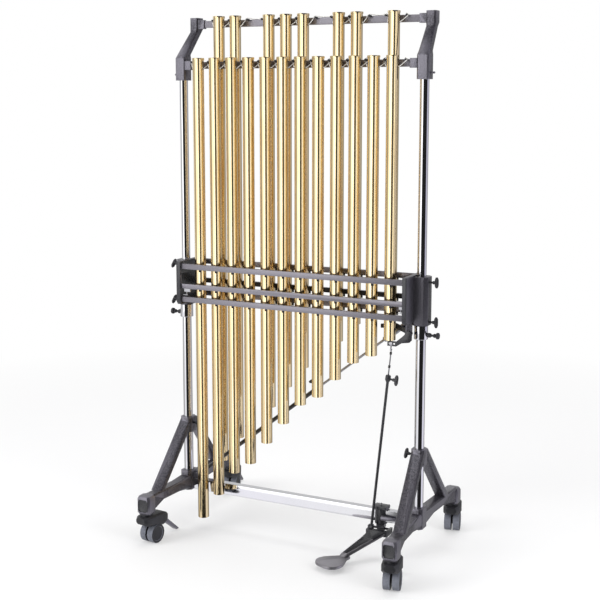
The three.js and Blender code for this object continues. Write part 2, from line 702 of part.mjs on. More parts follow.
function hood() {
  const { trail, clear, webWidth, webRadius, axleRadius, wheelRadius, hoodTop, hoodCorner } = caster;
  const { hoodNose, hoodTail, hoodWidth, hoodLow } = caster;
  const [hoodLength, hoodHeight] = [hoodTail - hoodNose, hoodTop - hoodLow];
  const shell = loft(hoodShares.map(({ along, across, low, top }) => ({
    x: 0, y: hoodNose + along * hoodLength, z: hoodLow + hoodHeight * (low + top) / 2,
    across: across * hoodWidth, along: (top - low) * hoodHeight, corner: hoodCorner,
  })), false);
  const widest = hoodWidth + overrun;
  const wellWidth = (widest - webWidth) / 2;
  const wells = [-1, 1].map((side) => drum(
    wheelRadius + clear, wellWidth, 'x', side * (widest + webWidth) / 4, trail, wheelRadius, wheelSides,
  ));
  const webDrop = hoodLow + hoodHeight / 2 - wheelRadius;
  const web = joined(
    drum(webRadius, webWidth, 'x', 0, trail, wheelRadius),
    block(webWidth, 2 * webRadius, webDrop, 0, trail, wheelRadius + webDrop / 2),
  );
  const boss = drum(caster.bossRadius, caster.bossHeight + overrun, 'z', 0, 0,
    hoodTop + (caster.bossHeight - overrun) / 2, wheelSides);
  const slotFront = lever.pinY - 2 * lever.ear;
  const slotBack = hoodTail + overrun;
  const slot = block(lever.width + 2 * fit, slotBack - slotFront, lever.slotTop, 0,
    (slotBack + slotFront) / 2, lever.slotTop / 2);
  const pinLength = hoodWidth * hoodShares.at(-1).across;
  const leverPin = drum(lever.pinRadius, pinLength, 'x', 0, lever.pinY, lever.pinZ);
  const axleHole = drum(axleRadius + fit, webWidth + overrun, 'x', 0, trail, wheelRadius);
  return joined(cut(joined(cut(shell, ...wells), web, boss), slot, axleHole), leverPin);
}

function brakeLever() {
  const { ear, width, pinRadius, pinY, pinZ, tipY, tipZ, tipLength } = lever;
  const blade = sidePlate([
    [pinY - ear, pinZ], [pinY - ear / 2, pinZ + ear], [pinY + ear, pinZ + ear], [tipY, tipZ + ear / 2],
    [tipY, tipZ], [tipY - tipLength, tipZ], [pinY - ear / 2, pinZ - ear],
  ], -width / 2, width / 2);
  return cut(blade, drum(pinRadius + fit, width + overrun, 'x', 0, pinY, pinZ));
}

function addCasters() {
  for (const [name, angle] of Object.entries(swivelAngles)) {
    const [end, side] = name.split('_');
    const unit = new THREE.Group();
    unit.position.set(ends[side] * foot.x, foot[`${end}Y`], 0);
    unit.rotation.z = THREE.MathUtils.degToRad(angle);
    addPiece(unit, `caster_hood_${name}`, hood(), 'black');
    addPiece(unit, `caster_wheels_${name}`, wheelPair(), 'tread', [0, caster.trail, caster.wheelRadius]);
    addPiece(unit, `brake_lever_${name}`, brakeLever(), 'casting');
    group.add(unit);
  }
}

// Damper box: tray-shaped end castings on the poles, fixed rails with felt blocks at top and bottom,
// and between them a swinging bar on each side that closes on the tubes
const box = {
  inset: 31, thick: 15, wall: 5, rim: 4, front: -89.5, back: 80, bottom: 803, top: 951, cutY: 7, cutZ: 9,
};
box.innerX = poleX - box.inset;
const poleClamp = { width: 56, depth: 56, bottom: 792, top: 947, corner: 12, screwDrop: 18, screwRise: 10 };
const clampWingAngles = { left: -45, right: 0 };
const damperRail = { depth: 11, height: 18, topZ: 943, bottomZ: 830, faceGap: 6 };
const felt = { width: 14, height: 10, drop: 3, gap: 1 };
const swingBar = { depth: 11, height: 16, topZ: 874 };
const swingArm = { width: 5, pivotZ: 908, radius: 7, pin: 4, clear: 0.35 };

function trayOutline(inset) {
  const { front, back, bottom, top, cutY, cutZ } = box;
  const half = inset / 2;
  return [
    [front + inset, top - inset], [front + inset, bottom + cutZ + half],
    [front + cutY + half, bottom + inset], [back - cutY - half, bottom + inset],
    [back - inset, bottom + cutZ + half], [back - inset, top - inset],
  ];
}

// Places of the four pairs of rails: which row they face and from which side
const damperSides = {
  front: { rowY: frontRowY, side: -1, notes: naturalNotes },
  back: { rowY: backRowY, side: 1, notes: sharpNotes },
};

function damperRailY({ rowY, side }) {
  return rowY + side * (tubeRadius + damperRail.faceGap + damperRail.depth / 2);
}

function feltBlocks({ rowY, side, notes }, topZ, height) {
  const inner = rowY + side * (tubeRadius + felt.gap);
  const outer = rowY + side * (tubeRadius + damperRail.faceGap + overrun);
  const low = topZ - height - felt.drop;
  return notes.map((note) => block(
    felt.width, Math.abs(outer - inner), felt.height, bellX(note), (inner + outer) / 2, low + felt.height / 2,
  ));
}

const railEndX = box.innerX + box.thick - box.wall - fit;

function fixedRail(place, topZ) {
  const { depth, height } = damperRail;
  const bar = block(2 * railEndX, depth, height, 0, damperRailY(place), topZ - height / 2);
  return joined(bar, ...feltBlocks(place, topZ, damperRail.height));
}

function swingingBar(place) {
  const y = damperRailY(place);
  const armX = railEndX - swingArm.width / 2;
  const bar = block(2 * railEndX, swingBar.depth, swingBar.height, 0, y, swingBar.topZ - swingBar.height / 2);
  const low = swingBar.topZ - swingBar.height / 2;
  const { width, radius, pivotZ } = swingArm;
  const arms = [-1, 1].flatMap((side) => [
    block(width, swingBar.depth, pivotZ - low, side * armX, y, (pivotZ + low) / 2),
    drum(radius, width, 'x', side * armX, y, pivotZ),
  ]);
  const solid = joined(bar, ...arms, ...feltBlocks(place, swingBar.topZ, swingBar.height));
  const bore = drum(swingArm.pin + swingArm.clear, 2 * poleX, 'x', 0, y, swingArm.pivotZ);
  return cut(solid, bore);
}

// A wing screw on each side wall of the pole clamp, one high and one low
const clampScrewZ = [poleClamp.top - poleClamp.screwDrop, poleClamp.bottom + poleClamp.screwRise];

function boxEnd(wingAngle, extras) {
  const { innerX, thick, wall, rim } = box;
  const tray = cut(
    sidePlate(trayOutline(0), innerX, innerX + thick),
    sidePlate(trayOutline(rim), innerX - overrun, innerX + thick - wall),
  );
  const clampHeight = poleClamp.top - poleClamp.bottom;
  const clampZ = (poleClamp.top + poleClamp.bottom) / 2;
  const screws = clampScrewZ.map((z) => wingScrew(poleX + poleClamp.width / 2, 0, z, wingAngle));
  const pinX = innerX + thick - wall - (swingArm.width - overrun) / 2;
  const pins = Object.values(damperSides).map((place) => drum(
    swingArm.pin, swingArm.width + overrun + wall, 'x', pinX, damperRailY(place), swingArm.pivotZ,
  ));
  const bore = drum(
    upperPoleDiameter / 2 + fit, clampHeight + 4 * overrun, 'z', poleX, 0, clampZ, poleSides,
  );
  const hollow = sidePlate(trayOutline(rim), innerX - overrun, innerX + thick - wall);
  const clampBody = cut(poleBlock(poleClamp), hollow);
  return joined(cut(joined(tray, clampBody, ...screws, ...extras), bore), ...pins);
}

// The bell crank under the right box end: the pedal rod pulls its front arm down, and its rear arm
// reaches in between the rows of tubes
const crank = {
  inset: 27.5, y: -40, z: 763, plate: 4, hub: 12, arm: 8, reachX: -55, reachZ: -33, shaft: 5, clear: 0.4,
  slotLong: 22, slotWide: 6, eye: 15, hangerDepth: 7, hangerWidth: 21, heel: 22, heelZ: 738,
};
crank.x = poleX - crank.inset;
const rearArm = { y: -13.5, plate: 5, kneeX: -54, kneeZ: 30, tipX: -104, tipZ: 16, thick: 17, tipThick: 13 };
const hookX = crank.x + crank.reachX;
const hookZ = crank.z + crank.reachZ;

// An outline of [x, z] points, extruded along Y around a place
function frontPlate(outline, thick, y) {
  const shape = new THREE.Shape(outline.map(([x, z]) => new THREE.Vector2(x, z)));
  const plate = new THREE.ExtrudeGeometry(shape, { depth: thick, bevelEnabled: false });
  return facingOut(plate.rotateX(Math.PI / 2).translate(0, y + thick / 2, 0));
}

function crankHanger() {
  const { x, y, z, hangerDepth, hangerWidth, plate, shaft, clear } = crank;
  const top = box.bottom + box.rim;
  const plateY = y + plate / 2 + fit + hangerDepth / 2;
  const body = joined(
    block(hangerWidth, hangerDepth, top - z, x, plateY, (top + z) / 2),
    drum(hangerWidth / 2, hangerDepth, 'y', x, plateY, z),
  );
  return cut(body, drum(shaft + clear, hangerDepth + overrun, 'y', x, plateY, z));
}

function crankPlate() {
  const { x, y, z, plate, hub, arm, shaft, eye, heel, heelZ } = crank;
  const front = frontPlate([
    [x + hub, z], [x + hub, heelZ + arm], [x + hub - arm, heelZ], [x - heel, heelZ - arm / 2],
    [hookX + eye, hookZ - arm], [hookX - eye, hookZ - arm], [hookX - eye, hookZ + arm],
    [hookX + eye, hookZ + arm], [x - hub - arm, z - arm], [x - hub, z],
  ], plate, y);
  const boss = drum(hub, plate, 'y', x, y, z);
  const length = rearArm.y + rearArm.plate / 2 - y;
  const axle = drum(shaft, length, 'y', x, y + length / 2, z);
  const knee = [x + rearArm.kneeX, z + rearArm.kneeZ];
  const tip = [x + rearArm.tipX, z + rearArm.tipZ];
  const half = rearArm.thick / 2;
  const rear = frontPlate([
    [x + shaft, z], [x, z - half], [knee[0], knee[1] - half * 2], [tip[0], tip[1] - rearArm.tipThick / 2],
    [tip[0], tip[1] + rearArm.tipThick / 2], knee, [x, z + half],
  ], rearArm.plate, rearArm.y);
  const slot = block(crank.slotLong, plate + overrun, crank.slotWide, hookX, y, hookZ);
  return cut(joined(front, boss, axle, rear), slot);
}

function addDamperBox() {
  const wallX = box.innerX + overrun;
  const braceLug = pivotLug(brace.highX, brace.highZ, wallX);
  const braceTab = [-1, 1].map((side) => block(2 * lug.radius, lug.cheek, box.bottom + box.rim - brace.highZ,
    box.innerX + lug.radius, side * (brace.eyeWidth / 2 + lug.gap + lug.cheek / 2),
    (box.bottom + box.rim + brace.highZ) / 2));
  const rightExtras = [...braceLug, ...braceTab, crankHanger()];
  addPiece(group, 'damper_end_left', mirrored(boxEnd(clampWingAngles.left, [])), 'casting');
  addPiece(group, 'damper_end_right', boxEnd(clampWingAngles.right, rightExtras), 'casting');
  for (const [name, place] of Object.entries(damperSides)) {
    addPiece(group, `damper_rail_${name}_top`, fixedRail(place, damperRail.topZ), 'rail');
    addPiece(group, `damper_rail_${name}_bottom`, fixedRail(place, damperRail.bottomZ), 'rail');
    addPiece(group, `damper_bar_${name}`, swingingBar(place), 'rail');
  }
  addPiece(group, 'damper_crank', crankPlate(), 'steel');
}

// Pedal: a clamp block on the cross beam carries the hinge, and a two-part rod runs up to the crank
const pedalClamp = {
  x: 308, y: -4, radius: 21, bottom: 117, top: 168, plateWidth: 48, plateDepth: 36, plateTop: 176, nut: 16.5,
  nutBottom: 103, low: 90, stud: 2.5, studHeight: 8, gripY: -22, gripZ: 140, gripRadius: 9, gripTip: 5,
  gripStart: 8, gripEnd: 59,
};
const hinge = { y: -4, z: 98, pin: 4, clear: 0.4, lugWidth: 24 };
const pedal = {
  yokeWidth: 74, yokeFront: -46, yokeBack: -32, yokeHeight: 18, cheek: 8, earWidth: 5, earGap: 0.6,
  kneeX: 284, kneeY: -66, kneeZ: 74, kneeWidth: 46, neckX: 228, neckY: -118, neckZ: 32, neckWidth: 26,
  armHeight: 14, armRim: 6, channel: 5, headingAngle: 23, toeThick: 9, toeZ: 18, toeLength: 104,
  toeWidth: 96, corner: 4,
};
// Half of the spade, from the neck to the toe, as shares of its length and half its width
const toeOutlineShares = [
  [-0.13, 0.24], [0.08, 0.36], [0.28, 0.66], [0.48, 0.92], [0.66, 1], [0.82, 0.93], [0.94, 0.7], [1, 0.36],
];
const rod = {
  diameter: 9, bore: 5, inner: 4.4, exposed: 104.5, clampRadius: 9, clampLength: 24, clampEdge: 4,
  insert: 150, footRadius: 7, footWidth: 10, pin: 2, pinClear: 1.2, footX: 288, eyeRadius: 6.5, hookPin: 2.2,
  nut: 4, nutHeight: 8,
};
const linkNutDrops = [32, 76]; // from the hook down to the nuts on the upper rod
const yokeZ = hinge.z - pedal.corner;
const rodFootZ = yokeZ + pedal.yokeHeight / 2 + fit + rod.footRadius; // the foot stands on the yoke
const earX = rod.footX - rod.footWidth / 2 - pedal.earGap - pedal.earWidth / 2;

// A barrel around the cross beam with a plate on top, a nut and the hinge lug below, and a grip
function pedalBlock() {
  const { x, y, radius, bottom, top, plateWidth, plateDepth, plateTop, nut, nutBottom, low } = pedalClamp;
  const { stud, studHeight, gripY, gripZ, gripRadius, gripTip, gripStart, gripEnd } = pedalClamp;
  const barrel = drum(radius, top - bottom, 'z', x, y, (top + bottom) / 2, poleSides);
  const plate = block(plateWidth, plateDepth, plateTop - top + overrun, x, y, (plateTop + top - overrun) / 2);
  const nutHeight = bottom - nutBottom + overrun;
  const nutBody = drum(nut, nutHeight, 'z', x, y, nutBottom + nutHeight / 2, pegSides);
  const hingeLug = block(hinge.lugWidth, 4 * hinge.pin, nutBottom + overrun - low, x, hinge.y,
    (nutBottom + overrun + low) / 2);
  const gripLength = gripEnd - gripStart;
  const grip = drum(gripRadius, gripLength, 'x', x + (gripStart + gripEnd) / 2, gripY, gripZ, smallSides,
    gripTip);
  const [roomDepth, roomHeight] = [crossBeam.depth + 2 * fit, crossBeam.height + 2 * fit];
  const room = block(plateWidth + overrun, roomDepth, roomHeight, x, 0, crossBeam.midZ);
  const pin = drum(hinge.pin, pedal.yokeWidth, 'x', x, hinge.y, hinge.z);
  const bolt = drum(stud, studHeight + overrun, 'z', x, y, plateTop + (studHeight - overrun) / 2);
  return joined(cut(joined(barrel, plate, nutBody), room), hingeLug, pin, bolt, grip);
}

function pedalToe() {
  const half = toeOutlineShares.map(([along, aside]) => (
    [along * pedal.toeLength, aside * pedal.toeWidth / 2]
  ));
  const spade = [...half, ...half.map(([along, aside]) => [along, -aside]).reverse()];
  const shape = new THREE.Shape(spade.map(([along, aside]) => new THREE.Vector2(aside, -along)));
  const plate = new THREE.ExtrudeGeometry(shape, { depth: pedal.toeThick, bevelEnabled: false });
  return facingOut(plate).rotateZ(THREE.MathUtils.degToRad(-pedal.headingAngle))
    .translate(pedal.neckX, pedal.neckY, pedal.toeZ);
}

// The arm runs down from the yoke, aside and forward to the neck of the toe plate
function pedalArm() {
  const { yokeWidth, yokeFront, yokeBack, cheek, corner, armHeight, neckX, neckY, neckWidth } = pedal;
  const yoke = { x: pedalClamp.x, z: yokeZ, across: yokeWidth - 2 * cheek, along: armHeight, corner };
  const knee = { ...yoke, x: pedal.kneeX, y: pedal.kneeY, z: pedal.kneeZ, across: pedal.kneeWidth };
  const neck = { ...yoke, x: neckX, y: neckY, z: pedal.neckZ, across: neckWidth };
  const bar = loft([
    { ...yoke, y: yokeBack },
    { ...yoke, y: yokeFront },
    knee,
    neck,
    { x: neckX - 2 * corner, y: neckY - 2 * corner, z: pedal.toeZ + pedal.toeThick / 2,
      across: neckWidth - corner, along: pedal.toeThick, corner: corner / 2 },
  ], false);
  const channel = loft([knee, neck].map((station) => ({
    ...station, z: station.z + armHeight - pedal.channel, across: station.across - 2 * pedal.armRim,
    corner: corner / 2,
  })), false);
  return cut(bar, channel);
}

function pedalShape() {
  const { yokeWidth, yokeFront, yokeBack, yokeHeight, cheek, earWidth } = pedal;
  const x = pedalClamp.x;
  const [yokeDepth, yokeY] = [yokeBack - yokeFront, (yokeBack + yokeFront) / 2];
  const bar = block(yokeWidth, yokeDepth, yokeHeight, x, yokeY, yokeZ);
  const cheekBack = hinge.y + yokeHeight / 2;
  const cheeks = [-1, 1].map((side) => block(
    cheek, cheekBack - yokeFront, yokeHeight, x + side * (yokeWidth - cheek) / 2, (cheekBack + yokeFront) / 2,
    yokeZ,
  ));
  const earHeight = rodFootZ + rod.footRadius - yokeZ;
  const ear = block(earWidth, yokeDepth, earHeight, earX, yokeY, yokeZ + earHeight / 2);
  const pinLength = rod.footX - earX + rod.footWidth / 2;
  const earPin = drum(rod.pin, pinLength, 'x', earX + pinLength / 2, crank.y, rodFootZ);
  const bore = drum(hinge.pin + hinge.clear, yokeWidth + overrun, 'x', x, hinge.y, hinge.z);
  return cut(joined(bar, ...cheeks, pedalArm(), pedalToe(), ear, earPin), bore);
}

function addPedal() {
  addPiece(group, 'pedal_block', pedalBlock(), 'black');
  addPiece(group, 'pedal', pedalShape(), 'casting');
}

const rodFoot = new THREE.Vector3(rod.footX, crank.y, rodFootZ);
const rodHead = new THREE.Vector3(hookX, crank.y, hookZ);
const rodLean = Math.atan2(rodHead.x - rodFoot.x, rodHead.z - rodFoot.z);

const rodReach = rodFoot.distanceTo(rodHead);
const rodLength = rodReach - rod.exposed;

function pedalRod() {
  const { diameter, clampLength, clampRadius, clampEdge, bore } = rod;
  const outer = diameter / 2;
  const clampBottom = rodLength - clampLength;
  const tube = turned([
    [0, 0], [outer, 0], [outer, clampBottom], [clampRadius, clampBottom + 2 * clampEdge],
    [clampRadius, rodLength - clampEdge], [clampRadius - clampEdge / 2, rodLength], [bore / 2, rodLength],
    [bore / 2, clampLength], [0, clampLength],
  ], smallSides);
  const foot = drum(rod.footRadius, rod.footWidth, 'x', 0, 0, 0).rotateY(-rodLean);
  const eye = drum(rod.pin + rod.pinClear, rod.footWidth + 2 * overrun, 'x', 0, 0, 0).rotateY(-rodLean);
  return cut(joined(tube, foot, wingScrew(clampRadius - overrun, 0, rodLength - clampLength / 2, 0)), eye);
}

// The upper rod ends in an eye in front of the crank, with a pin through the crank's slot
function linkRod() {
  const reach = rodReach;
  const start = rodLength - rod.insert;
  const side = -crank.plate / 2 - fit - rod.inner / 2;
  const stem = drum(rod.inner / 2, reach - start, 'z', 0, 0, (reach + start) / 2);
  const neckEnd = reach - 3 * rod.eyeRadius;
  const lower = cut(stem, block(crank.slotLong, crank.slotLong, reach, 0, 0, neckEnd + reach / 2));
  const step = block(rod.inner, rod.inner - side, rod.inner, 0, side / 2, neckEnd);
  const upper = drum(rod.inner / 2, reach - neckEnd, 'z', 0, side, (reach + neckEnd) / 2);
  const eye = drum(rod.eyeRadius, rod.inner, 'y', 0, side, reach);
  const pinLength = crank.plate + rod.inner;
  const pin = drum(rod.hookPin, pinLength, 'y', 0, side + pinLength / 2, reach, cordSides);
  const nuts = linkNutDrops.map((drop) => drum(rod.nut, rod.nutHeight, 'z', 0, 0, reach - drop, pegSides));
  return joined(lower, step, upper, eye, pin, ...nuts);
}

function addRods() {
  addPiece(group, 'pedal_rod', pedalRod(), 'black', rodFoot.toArray()).rotation.y = rodLean;
  addPiece(group, 'link_rod', linkRod(), 'steel', rodFoot.toArray()).rotation.y = rodLean;
}

addBells();
addRails();
addCords();
addBrackets();
addPoles();
addEndFrames();
addCrossBeam();
addBrace();
addCasters();
addDamperBox();
addPedal();
addRods();

// The origin lies on the floor under the middle of the whole instrument
const bounds = new THREE.Box3().setFromObject(group);
const middle = bounds.getCenter(new THREE.Vector3());
group.position.set(-middle.x, -middle.y, -bounds.min.z);

export default group;
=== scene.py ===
"""Tubular bells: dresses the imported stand, bells, damper box and pedal, and lights them in a plain studio."""

import json
import math

import bmesh
import bpy
from bpy.props import FloatProperty, FloatVectorProperty, IntProperty, PointerProperty
from mathutils import Matrix, Vector


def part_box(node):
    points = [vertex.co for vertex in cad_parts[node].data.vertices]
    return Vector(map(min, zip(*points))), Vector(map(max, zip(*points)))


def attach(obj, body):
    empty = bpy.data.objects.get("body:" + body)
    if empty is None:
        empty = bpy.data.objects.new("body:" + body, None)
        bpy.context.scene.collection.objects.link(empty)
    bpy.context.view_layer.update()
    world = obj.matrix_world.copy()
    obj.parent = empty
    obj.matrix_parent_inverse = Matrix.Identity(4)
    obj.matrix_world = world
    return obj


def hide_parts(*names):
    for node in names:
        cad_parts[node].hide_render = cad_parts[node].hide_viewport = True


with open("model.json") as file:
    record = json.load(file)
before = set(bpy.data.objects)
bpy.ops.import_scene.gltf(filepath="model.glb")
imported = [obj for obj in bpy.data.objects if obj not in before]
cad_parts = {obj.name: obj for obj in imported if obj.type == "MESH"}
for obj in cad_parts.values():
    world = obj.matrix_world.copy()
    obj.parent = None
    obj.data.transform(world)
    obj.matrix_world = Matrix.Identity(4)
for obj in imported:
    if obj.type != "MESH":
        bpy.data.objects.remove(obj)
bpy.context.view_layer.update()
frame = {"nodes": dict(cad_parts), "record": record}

bl_info = {
    "name": "Tubular bells",
    "version": (1, 0, 0),
    "blender": (4, 5, 0),
    "location": "View3D > Sidebar > Bells",
    "description": "Builds the visible pieces of a set of tubular bells on its packed frame",
    "category": "Object",
}

UP = Vector((0, 0, 1))
NODES = frame["nodes"]
BODY_OF = {node: body for body, nodes in frame["record"]["behaviour"]["bodies"].items() for node in nodes}
SIDES = {"left": -1, "right": 1}
CASTERS = ("front_left", "front_right", "back_left", "back_right")


def corners(node):
    """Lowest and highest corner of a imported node."""
    low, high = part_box(node)
    return Vector(low), Vector(high)


def centre(node):
    low, high = corners(node)
    return (low + high) / 2


POLE_Y = centre("cross_beam").y
POLE_X = centre("upper_pole_right").x


# Sizes and colours that a user may change


def length(name, description, default):
    return FloatProperty(name=name, description=description, default=default,
                         subtype="DISTANCE", unit="LENGTH")


def angle(name, description, default):
    return FloatProperty(name=name, description=description, default=default, subtype="ANGLE")


def power(name, description, default):
    return FloatProperty(name=name, description=description, default=default, unit="POWER")


def colour(name, description, default):
    return FloatVectorProperty(name=name, description=description, default=default, subtype="COLOR",
                               min=0, max=1)


def share(name, description, default):
    return FloatProperty(name=name, description=description, default=default, subtype="FACTOR", min=0, max=1)


class BellLooks(bpy.types.PropertyGroup):
    """Sizes and finish of the brass tubes and their cords."""

    sides: IntProperty(name="Sides", description="Facets round each tube", default=56, min=12)
    wall: length("Wall", "Thickness of the tube", 0.0014)
    cap_width: length("Cap diameter", "Across the plug's rim", 0.0406)
    cap_height: length("Cap height", "Height of the plug's rim", 0.007)
    cap_edge: length("Cap edge", "Rounding of the plug's rim", 0.0013)
    plug_depth: length("Plug depth", "From the top down to the plug's underside", 0.009)
    hole_drop: length("Hole drop", "From the top down to the cord holes", 0.036)
    hole_width: length("Hole diameter", "Width of the cord holes", 0.005)
    cord_width: length("Cord diameter", "Width of the suspension cord", 0.0024)
    brass: colour("Brass", "Colour of the polished tubes", (0.86, 0.70, 0.425))
    warm_brass: colour("Warm brass", "Colour of the tarnish in the brass", (0.78, 0.58, 0.31))
    brass_gloss: share("Brass roughness", "Roughness of the polished brass", 0.12)
    cord: colour("Cord", "Colour of the cord", (0.93, 0.91, 0.86))


class StandLooks(bpy.types.PropertyGroup):
    """Sizes and finish of the stand, its castings and its poles."""

    sides: IntProperty(name="Sides", description="Facets round each pole", default=48, min=12)
    casting_edge: length("Casting edge", "Rounding of the castings' edges", 0.0022)
    plate_edge: length("Plate edge", "Rounding of plates and bars", 0.0008)
    paint: colour("Paint", "Colour of the hammered paint", (0.125, 0.120, 0.140))
    paint_dark: colour("Paint valleys", "Colour in the dimples of the paint", (0.034, 0.032, 0.040))
    dimple: length("Dimple size", "Width of one dimple of the hammered paint", 0.0034)
    chrome: colour("Chrome", "Colour of the plated poles", (0.84, 0.84, 0.87))
    satin: colour("Satin rail", "Colour of the drawn rails", (0.34, 0.325, 0.365))
    alloy: colour("Alloy", "Colour of the pedal's casting", (0.30, 0.29, 0.31))
    steel: colour("Steel", "Colour of bare steel rods", (0.52, 0.52, 0.55))
    black: colour("Black", "Colour of knobs, hoods and black rods", (0.017, 0.017, 0.020))
    wheel: colour("Wheel", "Colour of the wheels' treads", (0.20, 0.21, 0.25))
    felt_drop: length("Felt drop", "How far the felts hang below their rails", 0.0085)
    felt: colour("Felt", "Colour of the damper pads", (0.016, 0.015, 0.016))


class StageLooks(bpy.types.PropertyGroup):
    """Camera, lamps and floor of the studio."""

    lens: FloatProperty(name="Lens", description="Focal length of the camera", default=70.16, unit="CAMERA")
    rise: FloatProperty(name="Vertical shift", description="Shift of the picture on the sensor",
                        default=-0.0602)
    turn: angle("Turn", "Camera's turn round the upright", 0.4618)
    tip: angle("Tip", "How far the camera looks down", 0.1445)
    floor: colour("Floor", "Colour of the floor", (0.90, 0.90, 0.90))
    reach: length("Floor radius", "From the middle to the edge of the floor", 7.0)
    key: power("Key lamp", "Power of the large lamp at the left", 95)
    fill: power("Fill lamp", "Power of the lamp at the right", 55)
    top: power("Top lamp", "Power of the lamp overhead", 60)


# Shader tools


class Wire:
    """A shader socket that Python's arithmetic works on: +, -, * and / each add a Math node."""

    def __init__(self, finish, socket):
        self.finish = finish
        self.socket = socket

    def math(self, operation, *values):
        return self.finish.add("ShaderNodeMath", {"operation": operation}, dict(enumerate(values)))

    def __add__(self, other):
        return self.math("ADD", self, other)

    def __sub__(self, other):
        return self.math("SUBTRACT", self, other)

    def __mul__(self, other):
        return self.math("MULTIPLY", self, other)

    def __truediv__(self, other):
        return self.math("DIVIDE", self, other)

    __radd__ = __add__
    __rmul__ = __mul__


class Sheet:
    """A node tree that is written as expressions."""

    def __init__(self, tree):
        self.tree = tree

    def add(self, kind, settings=(), values=(), stops=(), out=0):
        node = self.tree.nodes.new(kind)
        for name, value in dict(settings).items():
            setattr(node, name, value)
        if stops:
            ramp = node.color_ramp
            while len(ramp.elements) < len(stops):
                ramp.elements.new(0.5)
            for element, (place, shade) in zip(ramp.elements, stops):
                element.position = place
                element.color = shade if hasattr(shade, "__len__") else (shade, shade, shade, 1)
        for name, value in dict(values).items():
            self.feed(node.inputs[name], value)
        return Wire(self, node.outputs[out])

    def feed(self, inlet, value):
        if isinstance(value, Wire):
            self.tree.links.new(value.socket, inlet)
        elif inlet.type == "RGBA" and len(value) == 3:
            inlet.default_value = (*value, 1)
        else:
            inlet.default_value = value

    def mix(self, mask, first, second):
        """A colour between two, by a mask from 0 to 1."""
        kind = {"data_type": "RGBA"}
        return self.add("ShaderNodeMix", kind, {0: mask, 6: first, 7: second}, out=2)

    def scaled(self, point, factors):
        return self.add("ShaderNodeVectorMath", {"operation": "MULTIPLY"}, {0: point, 1: factors})

    def noise(self, point, scale, detail=2.0, roughness=0.5):
        values = {"Vector": point, "Scale": scale, "Detail": detail, "Roughness": roughness}
        return self.add("ShaderNodeTexNoise", {}, values)

    def clamp(self, wire, low=0.0, high=1.0, to_low=0.0, to_high=1.0):
        values = {"Value": wire, 1: low, 2: high, 3: to_low, 4: to_high}
        return self.add("ShaderNodeMapRange", {"clamp": True}, values)


class Finish(Sheet):
    """A material with one Principled shader."""

    def __init__(self, name, **fixed):
        self.material = bpy.data.materials.new(name)
        self.material.use_nodes = True
        super().__init__(self.material.node_tree)
        self.shader = self.tree.nodes["Principled BSDF"]
        self.set(**fixed)

    def set(self, **values):
        for name, value in values.items():
            self.feed(self.shader.inputs[name.replace("_", " ").title()], value)

    def place(self):
        return self.add("ShaderNodeTexCoord", out=3)

    def edges(self, radius):
        """1 on sharp outer edges: the castings take a painted highlight there, and the black parts a paler
        grey.
        """
        point = self.add("ShaderNodeNewGeometry", out=7)
        return self.clamp(point, 0.5 + radius, 0.5 + 3 * radius)

    def bump(self, height, distance, strength=1.0):
        values = {"Height": height, "Distance": distance, "Strength": strength}
        self.set(normal=self.add("ShaderNodeBump", {}, values))


MADE = {}


def finish(recipe):
    """Each recipe makes its material once."""

    def get():
        if recipe.__name__ not in MADE:
            MADE[recipe.__name__] = recipe()
        return MADE[recipe.__name__]

    return get


@finish
def brass():
    looks = bpy.context.scene.bell_looks
    sheet = Finish("polished_brass", metallic=1.0)
    point = sheet.place()
    cloud = sheet.noise(point, 5, 2)
    drawn = sheet.noise(sheet.scaled(point, (130, 130, 0.8)), 1, 1)
    tarnish = sheet.clamp(cloud, 0.42, 0.75, 0, 0.7)
    sheet.set(base_color=sheet.mix(tarnish, looks.brass, looks.warm_brass))
    sheet.set(roughness=looks.brass_gloss - 0.02 + drawn * 0.03 + sheet.clamp(cloud, 0.5, 0.8, 0, 0.04))
    sheet.bump(drawn, 0.00001, 0.02)
    return sheet.material


@finish
def bore():
    looks = bpy.context.scene.bell_looks
    sheet = Finish("dull_bore", metallic=1.0)
    grain = sheet.noise(sheet.scaled(sheet.place(), (300, 300, 20)), 1, 3)
    sheet.set(base_color=sheet.mix(grain, looks.warm_brass, tuple(v * 0.4 for v in looks.warm_brass)))
    sheet.set(roughness=0.4 + grain * 0.25)
    sheet.bump(grain, 0.0001, 0.5)
    return sheet.material


@finish
def chrome():
    looks = bpy.context.scene.stand_looks
    sheet = Finish("plated_chrome", metallic=1.0)
    point = sheet.place()
    smear = sheet.noise(point, 14, 4)
    line = sheet.noise(sheet.scaled(point, (500, 500, 6)), 1, 2)
    sheet.set(base_color=sheet.mix(smear * 0.35, looks.chrome, tuple(v * 0.8 for v in looks.chrome)))
    sheet.set(roughness=0.05 + sheet.clamp(smear, 0.45, 0.8, 0, 0.07) + line * 0.03)
    sheet.bump(line, 0.00003, 0.3)
    return sheet.material


@finish
def satin():
    looks = bpy.context.scene.stand_looks
    sheet = Finish("drawn_rail", metallic=0.85)
    point = sheet.place()
    drawn = sheet.noise(sheet.scaled(point, (3, 700, 700)), 1, 3)
    cloud = sheet.noise(point, 11, 3)
    sheet.set(base_color=sheet.mix(cloud, tuple(v * 0.86 for v in looks.satin), looks.satin))
    sheet.set(roughness=0.30 + drawn * 0.14)
    sheet.bump(drawn, 0.00008, 0.5)
    return sheet.material


